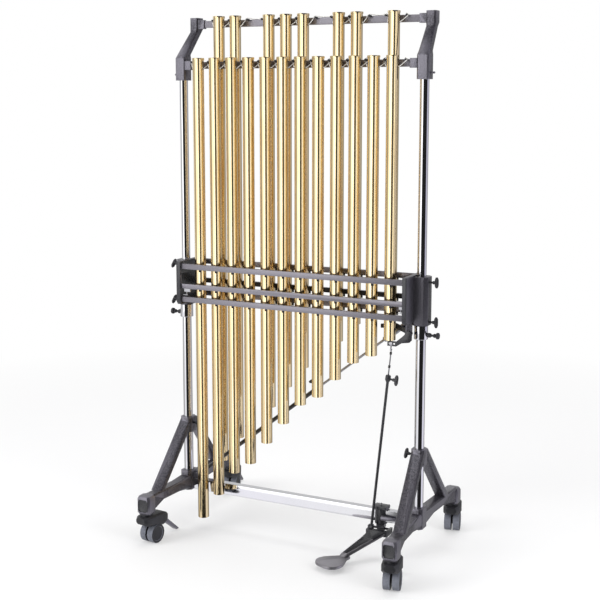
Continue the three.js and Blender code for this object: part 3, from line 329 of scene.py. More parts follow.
def hammered_sheet(name, depth):
    """Hammered paint, darker where depth is less than 1."""
    looks = bpy.context.scene.stand_looks
    sheet = Finish(name, metallic=0.8, coat_roughness=0.15)
    light, dark = (tuple(v * depth for v in shade) for shade in (looks.paint, looks.paint_dark))
    point = sheet.place()
    cells = {"feature": "SMOOTH_F1"}
    warp = sheet.add("ShaderNodeVectorMath", {"operation": "MULTIPLY_ADD"},
                     {0: sheet.add("ShaderNodeTexNoise", {}, {"Vector": point, "Scale": 260.0}, out=1),
                      1: (0.0016, 0.0016, 0.0016), 2: point})
    dimple = sheet.add("ShaderNodeTexVoronoi", cells,
                       {"Vector": warp, "Scale": 1 / looks.dimple, "Smoothness": 0.6})
    cloud = sheet.noise(point, 18, 3)
    hollow = sheet.clamp(dimple, 0.1, 0.75)
    speckle = sheet.clamp(sheet.noise(point, 170, 2), 0.42, 0.62, 0, 0.5)
    tone = sheet.mix(speckle, sheet.mix(hollow, dark, light), tuple(v * 1.5 for v in light))
    # Painted highlight: the sharp outer edges of the paint are lighter.
    painted_edge_highlight = sheet.edges(0.012)
    sheet.set(base_color=sheet.mix(painted_edge_highlight * 0.6, tone, tuple(v * 2.4 for v in light)))
    sheet.set(roughness=0.34 + cloud * 0.1 - hollow * 0.06, coat_weight=0.2 + cloud * 0.15)
    sheet.bump(dimple, 0.0006, 0.7)
    return sheet.material


@finish
def hammered():
    return hammered_sheet("hammered_paint", 1.0)


@finish
def hammered_dark():
    return hammered_sheet("hammered_dark_paint", 0.55)


@finish
def alloy():
    looks = bpy.context.scene.stand_looks
    sheet = Finish("cast_alloy", metallic=0.9)
    point = sheet.place()
    cloud = sheet.noise(point, 24, 3)
    grain = sheet.noise(point, 900, 2)
    shade = sheet.mix(cloud, tuple(v * 0.7 for v in looks.alloy), looks.alloy)
    # Painted highlight: the sharp outer edges of the pedal are lighter.
    sheet.set(base_color=sheet.mix(sheet.edges(0.01) * 0.5, shade, tuple(v * 1.7 for v in looks.alloy)))
    sheet.set(roughness=0.34 + cloud * 0.14)
    sheet.bump(grain, 0.00012, 0.4)
    return sheet.material


@finish
def steel():
    looks = bpy.context.scene.stand_looks
    sheet = Finish("plated_steel", metallic=1.0)
    point = sheet.place()
    grain = sheet.noise(sheet.scaled(point, (60, 60, 400)), 1, 3)
    cloud = sheet.noise(point, 30, 3)
    sheet.set(base_color=sheet.mix(cloud, tuple(v * 0.8 for v in looks.steel), looks.steel))
    sheet.set(roughness=0.22 + grain * 0.16)
    sheet.bump(grain, 0.00008, 0.4)
    return sheet.material


def black_sheet(name, roughness, grain_scale, depth, coat):
    looks = bpy.context.scene.stand_looks
    sheet = Finish(name, coat_roughness=0.1)
    point = sheet.place()
    grain = sheet.noise(point, grain_scale, 2)
    dust = sheet.noise(point, 35, 4)
    grey = tuple(v * 2.6 + 0.01 for v in looks.black)
    # Greyer where dust lies at random, and paler on sharp edges.
    dust_and_pale_edges = sheet.clamp(dust, 0.55, 0.85, 0, 0.4) + sheet.edges(0.02) * 0.3
    sheet.set(base_color=sheet.mix(sheet.clamp(dust_and_pale_edges), looks.black, grey))
    sheet.set(roughness=roughness + dust * 0.12, coat_weight=coat)
    sheet.bump(grain, depth, 0.5)
    return sheet.material


@finish
def black_plastic():
    return black_sheet("moulded_black", 0.36, 1400, 0.00012, 0.0)


@finish
def black_paint():
    return black_sheet("black_enamel", 0.22, 500, 0.00005, 0.3)


@finish
def tread():
    looks = bpy.context.scene.stand_looks
    sheet = Finish("grey_tread")
    point = sheet.place()
    grain = sheet.noise(point, 1100, 2)
    scuff = sheet.noise(point, 60, 4, 0.7)
    dark = tuple(v * 0.6 for v in looks.wheel)
    sheet.set(base_color=sheet.mix(sheet.clamp(scuff, 0.35, 0.75), looks.wheel, dark))
    sheet.set(roughness=0.55 + scuff * 0.2)
    sheet.bump(grain, 0.0002, 0.5)
    return sheet.material


@finish
def felt():
    looks = bpy.context.scene.stand_looks
    sheet = Finish("black_felt", roughness=0.95, sheen_weight=0.3, sheen_roughness=0.5)
    point = sheet.place()
    fluff = sheet.noise(point, 1600, 5, 0.7)
    clump = sheet.noise(point, 260, 3)
    light = tuple(v * 2.5 + 0.012 for v in looks.felt)
    sheet.set(base_color=sheet.mix(sheet.clamp(fluff, 0.4, 0.7), looks.felt, light))
    sheet.bump(fluff + clump, 0.0006, 0.8)
    return sheet.material


@finish
def twisted_cord():
    looks = bpy.context.scene.bell_looks
    sheet = Finish("white_cord", roughness=0.8, sheen_weight=0.25)
    point = sheet.place()
    lay = sheet.add("ShaderNodeTexWave", {"wave_type": "BANDS", "bands_direction": "DIAGONAL"},
                    {"Vector": point, "Scale": 190.0, "Distortion": 1.0})
    fibre = sheet.noise(point, 1500, 3)
    shade = tuple(v * 0.55 for v in looks.cord)
    sheet.set(base_color=sheet.mix(sheet.clamp(lay, 0.1, 0.7), shade, looks.cord))
    sheet.bump(lay + fibre * 0.4, 0.0003, 0.7)
    return sheet.material


# Mesh tools


def skin(form, rings):
    """Joins rings of equal count with faces, and closes the two ends."""
    rows = [[form.verts.new(point) for point in ring] for ring in rings]
    count = len(rows[0])
    for lower, upper in zip(rows, rows[1:]):
        for i in range(count):
            j = (i + 1) % count
            form.faces.new((lower[i], lower[j], upper[j], upper[i]))
    form.faces.new(list(reversed(rows[0])))
    form.faces.new(rows[-1])


def lathe(form, profile, origin, axis=UP, sides=32):
    """A turned solid: (radius, height) pairs from the axis back to the axis, or a closed loop."""
    axis = Vector(axis).normalized()
    first = axis.orthogonal().normalized()
    second = axis.cross(first)
    closed = profile[0][0] > 0
    columns = []
    for radius, height in profile:
        if radius <= 0:
            columns.append([form.verts.new(origin + axis * height)])
            continue
        columns.append([
            form.verts.new(origin + axis * height + radius * (first * math.cos(t) + second * math.sin(t)))
            for t in (2 * math.pi * k / sides for k in range(sides))
        ])
    pairs = list(zip(columns, columns[1:])) + ([(columns[-1], columns[0])] if closed else [])
    for lower, upper in pairs:
        for i in range(sides):
            j = (i + 1) % sides
            face = [lower[i % len(lower)], lower[j % len(lower)],
                    upper[j % len(upper)], upper[i % len(upper)]]
            form.faces.new(list(dict.fromkeys(face)))


def rounded_box(form, low, high, edge, steps=2):
    """A block with rounded edges between two corners."""
    start = len(form.verts)
    size = Vector(high) - Vector(low)
    made = bmesh.ops.create_cube(form, size=1, matrix=Matrix.Translation((Vector(low) + Vector(high)) / 2)
                                 @ Matrix.Diagonal((*size, 1)))
    edges = {e for v in made["verts"] for e in v.link_edges}
    bmesh.ops.bevel(form, geom=list(edges), offset=min(edge, *(s * 0.45 for s in size)), segments=steps,
                    profile=0.5, affect="EDGES")
    form.verts.ensure_lookup_table()
    return form.verts[start:]


def new_piece(name, form, materials, smooth=35):
    """Turns mesh code into a shown object with smooth faces and sharp edges where they turn."""
    bmesh.ops.recalc_face_normals(form, faces=form.faces)
    mesh = bpy.data.meshes.new(name)
    form.to_mesh(mesh)
    form.free()
    mesh.polygons.foreach_set("use_smooth", [True] * len(mesh.polygons))
    mesh.set_sharp_from_angle(angle=math.radians(smooth))
    for material in materials:
        mesh.materials.append(material)
    piece = bpy.data.objects.new(name, mesh)
    bpy.context.scene.collection.objects.link(piece)
    return piece


def stand_for(piece, node):
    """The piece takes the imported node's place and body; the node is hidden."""
    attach(piece, BODY_OF[node])
    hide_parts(node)
    return piece


def paint(piece, index, test):
    """Gives a material to the faces whose middle passes the test."""
    for face in piece.data.polygons:
        if test(face.center):
            face.material_index = index


def dye(points, index):
    """Gives a material to the faces that meet at the points."""
    for point in points:
        for face in point.link_faces:
            face.material_index = index


def applied(piece):
    """Bakes a piece's modifiers into its mesh."""
    view = bpy.context.evaluated_depsgraph_get()
    mesh = bpy.data.meshes.new_from_object(piece.evaluated_get(view))
    piece.modifiers.clear()
    piece.data = mesh


def softened(node, name, materials, edge, steps=2, limit=38, smooth=40):
    """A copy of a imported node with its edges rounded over."""
    form = bmesh.new()
    form.from_mesh(NODES[node].data)
    bmesh.ops.remove_doubles(form, verts=form.verts, dist=2e-5)
    bmesh.ops.dissolve_limit(form, angle_limit=math.radians(0.6), verts=form.verts, edges=form.edges)
    piece = new_piece(name, form, materials, smooth)
    bevel = piece.modifiers.new("edge", "BEVEL")
    bevel.width = edge
    bevel.segments = steps
    bevel.limit_method = "ANGLE"
    bevel.angle_limit = math.radians(limit)
    bevel.use_clamp_overlap = True
    bevel.harden_normals = False
    applied(piece)
    piece.data.polygons.foreach_set("use_smooth", [True] * len(piece.data.polygons))
    piece.data.set_sharp_from_angle(angle=math.radians(smooth))
    return stand_for(piece, node)


# The bells

TUBE_RADIUS = 0.019
TUBE_LIP = 0.0004  # bevel of the tube's lower end and under the cap
CAP_STEPS = 4
HOLE_MARGIN = 1.6  # hole widths, from a hole's middle to the next rings of the tube
DRILL_SIDES = 20
DRILL_REACH = 0.06


def bell_form(low, high, looks):
    """A tube open below, with a rounded plug above."""
    form = bmesh.new()
    middle = Vector(((low.x + high.x) / 2, (low.y + high.y) / 2, 0))
    cap, edge = looks.cap_width / 2, looks.cap_edge
    outer, inner, lip = TUBE_RADIUS, TUBE_RADIUS - looks.wall, TUBE_LIP
    top, bottom, hole = high.z, low.z, high.z - looks.hole_drop
    arc = [(cap - edge + edge * math.sin(t), top - edge + edge * math.cos(t))
           for t in (math.pi / 2 * k / CAP_STEPS for k in range(CAP_STEPS + 1))]
    near = [hole + looks.hole_width * HOLE_MARGIN, hole - looks.hole_width * HOLE_MARGIN]
    profile = [(0, top), *arc, (cap, top - looks.cap_height + lip), (cap - lip, top - looks.cap_height),
               (outer, top - looks.cap_height), *((outer, z) for z in near), (outer, bottom + lip),
               (outer - lip, bottom), (inner + lip, bottom), (inner, bottom + lip),
               *((inner, z) for z in reversed(near)), (inner, top - looks.plug_depth),
               (0, top - looks.plug_depth)]
    lathe(form, profile, middle, sides=looks.sides)
    return form


def drill(piece, holes):
    """Cuts round holes, each a (centre, axis, radius, length)."""
    form = bmesh.new()
    for middle, axis, radius, reach in holes:
        profile = [(0, -reach / 2), (radius, -reach / 2), (radius, reach / 2), (0, reach / 2)]
        lathe(form, profile, middle, axis, DRILL_SIDES)
    drill_bit = new_piece("drill_bit", form, [])
    cut = piece.modifiers.new("holes", "BOOLEAN")
    cut.object = drill_bit
    cut.operation = "DIFFERENCE"
    cut.solver = "EXACT"
    applied(piece)
    mesh = drill_bit.data
    bpy.data.objects.remove(drill_bit)
    bpy.data.meshes.remove(mesh)
    piece.data.set_sharp_from_angle(angle=math.radians(35))


class BELLS_OT_tubes(bpy.types.Operator):
    """Brass tubes with plugged tops and cord holes."""

    bl_idname = "bells.tubes"
    bl_label = "Tubes"

    def execute(self, context):
        looks = context.scene.bell_looks
        for node in [name for name in NODES if name.startswith("bell_")]:
            low, high = corners(node)
            piece = new_piece(f"{node}_tube", bell_form(low, high, looks), [brass(), bore()])
            middle = (low + high) / 2
            spot = Vector((middle.x, middle.y, high.z - looks.hole_drop))
            drill(piece, [(spot, (1, 0, 0), looks.hole_width / 2, DRILL_REACH)])
            inside, under = TUBE_RADIUS - looks.wall / 2, high.z - looks.cap_height
            paint(piece, 1, lambda at: (at.xy - middle.xy).length < inside and at.z < under)
            stand_for(piece, node)
        return {"FINISHED"}


# The cords: one strand for each row, through every tube and round its two pegs

PEG_REACH = 0.0355
PEG_DROP = 0.0125  # from the top of the tubes to the middle of the pegs
PEG_WIDTH = 0.0066
PEG_ROOT = 0.001  # how far a peg reaches into its rail
PEG_EDGE = 0.0008
PEG_SIDES = 20
SETBACK = 0.029  # from a row's middle to the front of its rail
RAIL_DEPTH = 0.010
RAIL_HEIGHT = 0.023
STRANDS = {-1: 0.024, 1: 0.018}  # how far behind its tubes each side of a cord meets its peg
PEG_BEND = 0.0058  # from a peg's middle to the cord's middle
CROSSING = (110, -10)  # turn of a cord round its peg, where it crosses to a near tube
FOLLOWING = (70, 190)  # the same where it goes on along the rail
REST_REACH = 0.0535  # from a tube's middle to where its cord has settled on the rail
REST_DROP = 0.012  # from the top of the tubes to the underside of that cord, without its gap
REST_GAP = 0.0003
HOLE_REACH = 0.0212  # from a tube's middle to where its cord turns up, outside the hole
HOLE_PLAY = 0.0006
NEAR = 0.095  # tubes further apart than this have rail between their pegs
TURN_STEPS = 9
ACROSS = Vector((0, 1, 0.02))  # no stretch of a cord runs this way


def bell_places(row):
    names = sorted(name for name in NODES if name.startswith(f"bell_{row}_"))
    return [Vector((centre(name).x, centre(name).y, corners(name)[1].z)) for name in names]


def strand(place, side, far, looks):
    """One side of a tube: from the next tube, round the peg and down to the hole."""
    slack = looks.hole_width / 2 - looks.cord_width / 2 - HOLE_PLAY
    peg = Vector((place.x + side * PEG_REACH, place.y + STRANDS[side], place.z - PEG_DROP))
    first, last = FOLLOWING if far else CROSSING
    turns = [math.radians(first + (last - first) * k / TURN_STEPS) for k in range(TURN_STEPS + 1)]
    arc = [peg + PEG_BEND * Vector((side * math.cos(turn), 0, math.sin(turn))) for turn in turns]
    hole = Vector((place.x + side * HOLE_REACH, place.y, place.z - looks.hole_drop + slack))
    rest = Vector((place.x + side * REST_REACH, place.y + SETBACK + RAIL_DEPTH / 2,
                   place.z - REST_DROP + looks.cord_width / 2 + REST_GAP))
    return [*([rest] if far else []), *arc, hole]


def cord_route(row, looks):
    """Points along a cord: up from a tube's hole, round the peg, over to the next peg and down."""
    places = bell_places(row)
    route = []
    for index, place in enumerate(places):
        for side in (-1, 1):
            beyond = index + side
            far = 0 <= beyond < len(places) and abs(places[beyond].x - place.x) > NEAR
            points = strand(place, side, far, looks)
            route += points if side < 0 else reversed(points)
    return route


def swept(form, route, width, sides=12):
    """A round tube along a route."""
    rings = []
    for i, point in enumerate(route):
        ahead = (route[min(i + 1, len(route) - 1)] - route[max(i - 1, 0)]).normalized()
        first = ahead.cross(ACROSS).normalized()
        second = ahead.cross(first)
        rings.append([point + width / 2 * (first * math.cos(t) + second * math.sin(t))
                      for t in (2 * math.pi * k / sides for k in range(sides))])
    skin(form, rings)


def eased(route, step=0.0012, passes=18):
    """The same route with more points and its corners drawn in a little."""
    fine = [route[0]]
    for start, end in zip(route, route[1:]):
        count = max(1, round((end - start).length / step))
        fine += [start.lerp(end, k / count) for k in range(1, count + 1)]
    for _ in range(passes):
        fine = [fine[0], *((a + 2 * b + c) / 4 for a, b, c in zip(fine, fine[1:], fine[2:])), fine[-1]]
    return fine


class BELLS_OT_cords(bpy.types.Operator):
    """White cords that carry the tubes."""

    bl_idname = "bells.cords"
    bl_label = "Cords"

    def execute(self, context):
        looks = context.scene.bell_looks
        for row in ("front", "back"):
            route = eased(cord_route(row, looks))
            form = bmesh.new()
            swept(form, route, looks.cord_width)
            node = f"suspension_cord_{row}"
            piece = stand_for(new_piece(f"{node}_line", form, [twisted_cord()], 80), node)
            span = sum((b - a).length for a, b in zip(route, route[1:]))
        return {"FINISHED"}


class BELLS_OT_rails(bpy.types.Operator):
    """Hanging rails with black pegs."""

    bl_idname = "bells.rails"
    bl_label = "Hanging rails"

    def execute(self, context):
        looks = context.scene.stand_looks
        for row in ("front", "back"):
            node = f"hanging_rail_{row}"
            low, high = corners(node)
            front = high.y - RAIL_DEPTH
            form = bmesh.new()
            for place in bell_places(row):
                for side in (-1, 1):
                    peg = Vector((place.x + side * PEG_REACH, front, place.z - PEG_DROP))
                    r, reach = PEG_WIDTH / 2, front - low.y
                    profile = [(0, -PEG_ROOT), (r, -PEG_ROOT), (r, reach - PEG_EDGE), (r - PEG_EDGE, reach),
                               (0, reach)]
                    lathe(form, profile, peg, (0, -1, 0), PEG_SIDES)
            rounded_box(form, (low.x, front, low.z), (high.x, high.y, low.z + RAIL_HEIGHT),
                        looks.plate_edge * 1.4, 3)
            piece = new_piece(f"{node}_bar", form, [satin(), black_plastic()])
            paint(piece, 1, lambda at: at.y < front - 0.0002)
            stand_for(piece, node)
        return {"FINISHED"}


class BELLS_OT_brackets(bpy.types.Operator):
    """Goose-neck castings between the poles and the rails."""

    bl_idname = "bells.brackets"
    bl_label = "Goose-neck brackets"

    def execute(self, context):
        looks = context.scene.stand_looks
        for side in SIDES:
            node = f"gooseneck_bracket_{side}"
            softened(node, f"{node}_casting", [hammered()], looks.casting_edge, 3)
        return {"FINISHED"}


# The poles

UPPER_OUTER, UPPER_INNER = 0.0148, 0.0132
LOWER_OUTER, LOWER_INNER = 0.016, 0.0151
COLLAR_RADIUS = 0.0225
COLLAR_HEIGHT = 0.045
COLLAR_EDGE = 0.002
SCREW_DROP = 0.0305  # from a collar's top to its screw
SCREW_SIDES = 28


def round_edge(radius, height, edge, steps=4):
    """Profile points of a rounded upper corner at (radius, height), met while going up."""
    points = []
    for k in range(steps + 1):
        t = math.pi / 2 * k / steps
        points.append((radius - edge * (1 - math.cos(t)), height + edge * (math.sin(t) - 1)))
    return points


def knob_profile():
    """A clamp screw from the pole outwards: neck, waist, bead and rounded head."""
    return [(0, -0.003), (0.0062, -0.003), (0.0075, 0.002), (0.0075, 0.0085), (0.0064, 0.0112),
            (0.0040, 0.0130), (0.0037, 0.0160), (0.0040, 0.0190), (0.0058, 0.0204), (0.0065, 0.0225),
            (0.0065, 0.0255), (0.0056, 0.0276), (0.0078, 0.0290), (0.0100, 0.0305), (0.0105, 0.0325),
            (0.0105, 0.0360), (0.0098, 0.0378), (0.0075, 0.0388), (0, 0.0390)]


class BELLS_OT_poles(bpy.types.Operator):
    """Plated poles, the lower pair with a clamp collar and a screw."""

    bl_idname = "bells.poles"
    bl_label = "Poles"

    def execute(self, context):
        looks = context.scene.stand_looks
        for side, sign in SIDES.items():
            x = sign * POLE_X
            low, high = corners(f"upper_pole_{side}")
            form = bmesh.new()
            lathe(form, [(UPPER_INNER, low.z), (UPPER_OUTER, low.z), (UPPER_OUTER, high.z),
                         (UPPER_INNER, high.z)], Vector((x, POLE_Y, 0)), sides=looks.sides)
            stand_for(new_piece(f"upper_pole_{side}_tube", form, [chrome()]), f"upper_pole_{side}")
            node = f"lower_pole_{side}"
            low, high = corners(node)
            form = bmesh.new()
            bottom = high.z - COLLAR_HEIGHT
            lower_edge = reversed(round_edge(COLLAR_RADIUS, bottom, COLLAR_EDGE))
            profile = [(LOWER_INNER, low.z), (LOWER_OUTER, low.z), (LOWER_OUTER, bottom),
                       *((r, 2 * bottom - z) for r, z in lower_edge),
                       *round_edge(COLLAR_RADIUS, high.z, COLLAR_EDGE), (LOWER_INNER, high.z)]
            lathe(form, profile, Vector((x, POLE_Y, 0)), sides=looks.sides)
            tube = len(form.faces)
            screw = Vector((x + sign * COLLAR_RADIUS, POLE_Y, high.z - SCREW_DROP))
            lathe(form, knob_profile(), screw, (sign, 0, 0), SCREW_SIDES)
            piece = new_piece(f"{node}_tube", form, [chrome(), black_plastic()])
            for face in piece.data.polygons[tube:]:
                face.material_index = 1
            stand_for(piece, node)
        return {"FINISHED"}


# The end frames, brace and casters

FRAME_COLLAR = 0.0225  # radius; within it and above SCREW_FLOOR an end frame's faces are its screw
SCREW_FLOOR = 0.3
FOOT_RECESS_SHADE = (0.003, 0.0046)  # a dark line of painted shade round each foot, from its tip, for a recess
FOOT_TOP = 0.14
CASTER_EDGE = 0.002
SIDE_FACING = 0.8  # a wheel's faces that look along its axle more than this are its sides


class BELLS_OT_frames(bpy.types.Operator):
    """End frames and the polished beam between them."""

    bl_idname = "bells.frames"
    bl_label = "End frames"

    def execute(self, context):
        looks = context.scene.stand_looks
        for side, sign in SIDES.items():
            node = f"end_frame_{side}"
            piece = softened(node, f"{node}_casting", [hammered(), black_plastic(), black_paint()],
                             looks.casting_edge, 3)
            low, high = corners(node)
            edge = POLE_X - FRAME_COLLAR
            near, far = FOOT_RECESS_SHADE
            paint(piece, 1, lambda at: sign * at.x < edge and at.z > SCREW_FLOOR)
            # Painted shade: a black line round each foot stands for the shade of a recess.
            paint(piece, 2, lambda at: near < min(at.y - low.y, high.y - at.y) < far and at.z < FOOT_TOP)
        softened("cross_beam", "cross_beam_tube", [chrome()], looks.casting_edge, 3)
        return {"FINISHED"}


class BELLS_OT_brace(bpy.types.Operator):
    """Diagonal brace: a black tube and the bright rod that slides in it."""

    bl_idname = "bells.brace"
    bl_label = "Brace"

    def execute(self, context):
        looks = context.scene.stand_looks
        softened("brace_tube", "brace_tube_black", [black_paint()], looks.plate_edge)
        softened("brace_rod", "brace_rod_bright", [steel()], looks.plate_edge)
        return {"FINISHED"}


class BELLS_OT_casters(bpy.types.Operator):
    """Hoods, wheels and brake levers."""

    bl_idname = "bells.casters"
    bl_label = "Casters"

    def execute(self, context):
        looks = context.scene.stand_looks
        for name in CASTERS:
            softened(f"caster_hood_{name}", f"caster_hood_{name}_shell", [black_plastic()], CASTER_EDGE, 3)
            wheels = softened(f"caster_wheels_{name}", f"caster_wheels_{name}_pair",
                              [tread(), black_plastic()], CASTER_EDGE, 3)
            faces = [(face, face.area, face.normal) for face in wheels.data.polygons]
            spread = sum(area * (normal.x ** 2 - normal.y ** 2) for _, area, normal in faces)
            turn = math.atan2(2 * sum(area * normal.x * normal.y for _, area, normal in faces), spread) / 2
            axle = Vector((math.cos(turn), math.sin(turn), 0))
            for face, _, normal in faces:
                if abs(normal.dot(axle)) > SIDE_FACING:
                    face.material_index = 1
            softened(f"brake_lever_{name}", f"brake_lever_{name}_plate", [hammered()], looks.plate_edge)
        return {"FINISHED"}


# The damper box

END_SCREWS = 0.0285  # beyond the pole by this much an end casting's faces are its screws
SHADED_HOLLOW_X = (0.4046, 0.4148)  # the hollow of an end casting, outwards and upwards; painted black there as painted shade
SHADED_HOLLOW_Z = (0.8075, 0.9465)
END_EDGE = 0.0014
FELT_FACE = 0.0113  # from a bar's outer side to where its felts begin
FELT_END = 0.38  # the felts lie within this distance of the middle
FELT_FOOT = 0.003  # height of the felts' undersides above a bar's lowest point
FELT_LIP = 0.0004
TAB_SPAN = (0.0068, 0.0165)  # a felt's lower corner, from its tube's middle
TAB_DEPTH = 0.0030
TAB_ROOT = 0.002
TAB_EDGE = 0.0006
STOP_EDGE = 0.0008
# Bright stops at the front bar's ends: left, right, bottom, top and depth
STOPS = (
    (-0.3945, -0.3700, 0.8470, 0.8585, 0.0045), (-0.3860, -0.3830, 0.8370, 0.8480, 0.0030),
    (-0.4060, -0.3800, 0.8350, 0.8378, 0.0030), (0.3905, 0.4035, 0.8490, 0.8585, 0.0045),
    (0.3960, 0.3990, 0.8370, 0.8500, 0.0030), (0.3880, 0.4080, 0.8350, 0.8378, 0.0030),
)


class BELLS_OT_damper(bpy.types.Operator):
    """Damper box: end castings, rails and swinging bars with felt pads."""

    bl_idname = "bells.damper"
    bl_label = "Damper box"

    def execute(self, context):
        looks = context.scene.stand_looks
        for side, sign in SIDES.items():
            node = f"damper_end_{side}"
            piece = softened(node, f"{node}_casting", [hammered_dark(), black_plastic(), black_paint()],
                             END_EDGE)
            paint(piece, 1, lambda at: sign * at.x > POLE_X + END_SCREWS)
            # Painted shade: the hollow inside each end casting is painted black.
            paint(piece, 2, lambda at: (SHADED_HOLLOW_X[0] < sign * at.x < SHADED_HOLLOW_X[1]
                                        and SHADED_HOLLOW_Z[0] < at.z < SHADED_HOLLOW_Z[1]))
        for node in [n for n in NODES if n.startswith(("damper_rail", "damper_bar"))]:
            piece = softened(node, f"{node}_bar", [satin(), felt(), steel()], looks.plate_edge)
            low, high = corners(node)
            back = "back" in node
            face = (high.y - FELT_FACE) if back else (low.y + FELT_FACE)
            paint(piece, 1, lambda at: (at.y > face) != back and abs(at.x) < FELT_END)
            self.tabs(piece, "back" if back else "front", low.z, face, looks)
            if node == "damper_bar_front":
                self.stops(piece, (low.y + face) / 2)
        return {"FINISHED"}

    def tabs(self, piece, row, bottom, face, looks):
        """Lifts the felts' undersides and hangs a corner of felt beside the middle of each tube."""
        under, sign = bottom + FELT_FOOT, 1 if row == "back" else -1
        for point in piece.data.vertices:
            if point.co.z < under - FELT_LIP and abs(point.co.x) < FELT_END:
                point.co.z = under + FELT_LIP
        form = bmesh.new()
        form.from_mesh(piece.data)
        near, far = sorted((face, face - sign * TAB_DEPTH))
        for place in bell_places(row):
            left, right = (place.x + span for span in TAB_SPAN)
            dye(rounded_box(form, (left, near, under - looks.felt_drop), (right, far, under + TAB_ROOT),
                            TAB_EDGE), 1)
        form.to_mesh(piece.data)
        form.free()

    def stops(self, piece, middle):
        """Bright steel stops at both ends of a bar."""
        form = bmesh.new()
        form.from_mesh(piece.data)
        for left, right, bottom, top, depth in STOPS:
            dye(rounded_box(form, (left, middle - depth / 2, bottom), (right, middle + depth / 2, top),
                            STOP_EDGE), 2)
        form.to_mesh(piece.data)
        form.free()


# The pedal, its block and its rods

EYE_DROP = 0.0065  # from the upper rod's top to the middle of its eye
NUT_DROPS = (0.032, 0.076)  # from the eye's middle to the middle of each nut
NUT_HALF = 0.0045
LINK_EDGE = 0.0005
BLOCK_EDGE = 0.0012
BLOCK_FOOT, BLOCK_BAND, BLOCK_HEAD = 0.1034, 0.1167, 0.1765  # heights where its finish changes
BLOCK_INNER = 0.3295  # the black part of the block lies inside this
PEDAL_EDGE = 0.0016
PEDAL_KNEE = Vector((0.284, -0.066 + POLE_Y, 0.074))  # where the channel of the pedal's arm begins
PEDAL_NECK = Vector((0.228, -0.118 + POLE_Y, 0.032))  # where it ends
PEDAL_HINGE = 0.0865  # above this the pedal is black
ARM_HALF = 0.007  # from the arm's middle line up to its rim
CHANNEL_START = -0.2  # share of the way from knee to neck
CHANNEL_WIDTH, CHANNEL_TAPER = 0.0174, 0.010  # half width at the knee, and how much it loses
CHANNEL_FLOOR, CHANNEL_RIM = -0.0065, -0.0008  # heights from the arm's rim


class BELLS_OT_pedal(bpy.types.Operator):
    """Pedal, its block on the beam, its two rods and the crank."""

    bl_idname = "bells.pedal"
    bl_label = "Pedal"

    def execute(self, context):
        looks = context.scene.stand_looks
        softened("damper_crank", "damper_crank_plate", [black_paint()], looks.plate_edge)
        piece = softened("link_rod", "link_rod_bright", [steel(), black_paint()], LINK_EDGE)
        eye = corners("link_rod")[1].z - EYE_DROP
        paint(piece, 1, lambda at: min(abs(eye - drop - at.z) for drop in NUT_DROPS) < NUT_HALF)
        softened("pedal_rod", "pedal_rod_black", [black_paint()], looks.plate_edge)
        piece = softened("pedal_block", "pedal_block_clamp", [hammered(), steel(), black_paint()],
                         BLOCK_EDGE, 3)
        paint(piece, 1, lambda at: BLOCK_FOOT < at.z < BLOCK_BAND or at.z > BLOCK_HEAD)
        paint(piece, 2, lambda at: ((at.x < BLOCK_INNER and BLOCK_BAND < at.z < BLOCK_HEAD)
                                    or at.z < BLOCK_FOOT))
        piece = softened("pedal", "pedal_casting", [alloy(), black_paint()], PEDAL_EDGE, 3)
        paint(piece, 1, lambda at: self.in_channel(at) or at.z > PEDAL_HINGE)
        return {"FINISHED"}

    def in_channel(self, at):
        """Whether a point lies on the floor of the channel along the pedal's arm."""
        along, away = (PEDAL_NECK - PEDAL_KNEE).xy, (at - PEDAL_KNEE).xy
        part = away.dot(along) / along.length_squared
        aside = abs(away.cross(along)) / along.length
        rim = PEDAL_KNEE.z + (PEDAL_NECK.z - PEDAL_KNEE.z) * part + ARM_HALF
        return (CHANNEL_START < part < 1 and aside < CHANNEL_WIDTH - CHANNEL_TAPER * part
                and CHANNEL_FLOOR < at.z - rim < CHANNEL_RIM)


# The studio

CAMERA_PLACE = (1.71362, -3.42923 + POLE_Y, 1.51564)
STRIP_DISTANCE = 9.0
STRIP_HEIGHT = 6.0
STRIP_MIDDLE = 0.2  # height of a strip lamp's middle


class BELLS_OT_camera(bpy.types.Operator):
    """The camera, in front of the right end and a little above."""

    bl_idname = "bells.camera"
    bl_label = "Camera"

    def execute(self, context):
        looks = context.scene.stage_looks
        data = bpy.data.cameras.new("studio_camera")
        data.sensor_width = 36
        data.lens = looks.lens
        data.shift_y = looks.rise
        camera = bpy.data.objects.new("studio_camera", data)
        camera.location = CAMERA_PLACE
        camera.rotation_euler = (math.pi / 2 - looks.tip, 0, looks.turn)
        context.scene.collection.objects.link(camera)
        context.scene.camera = camera
        return {"FINISHED"}


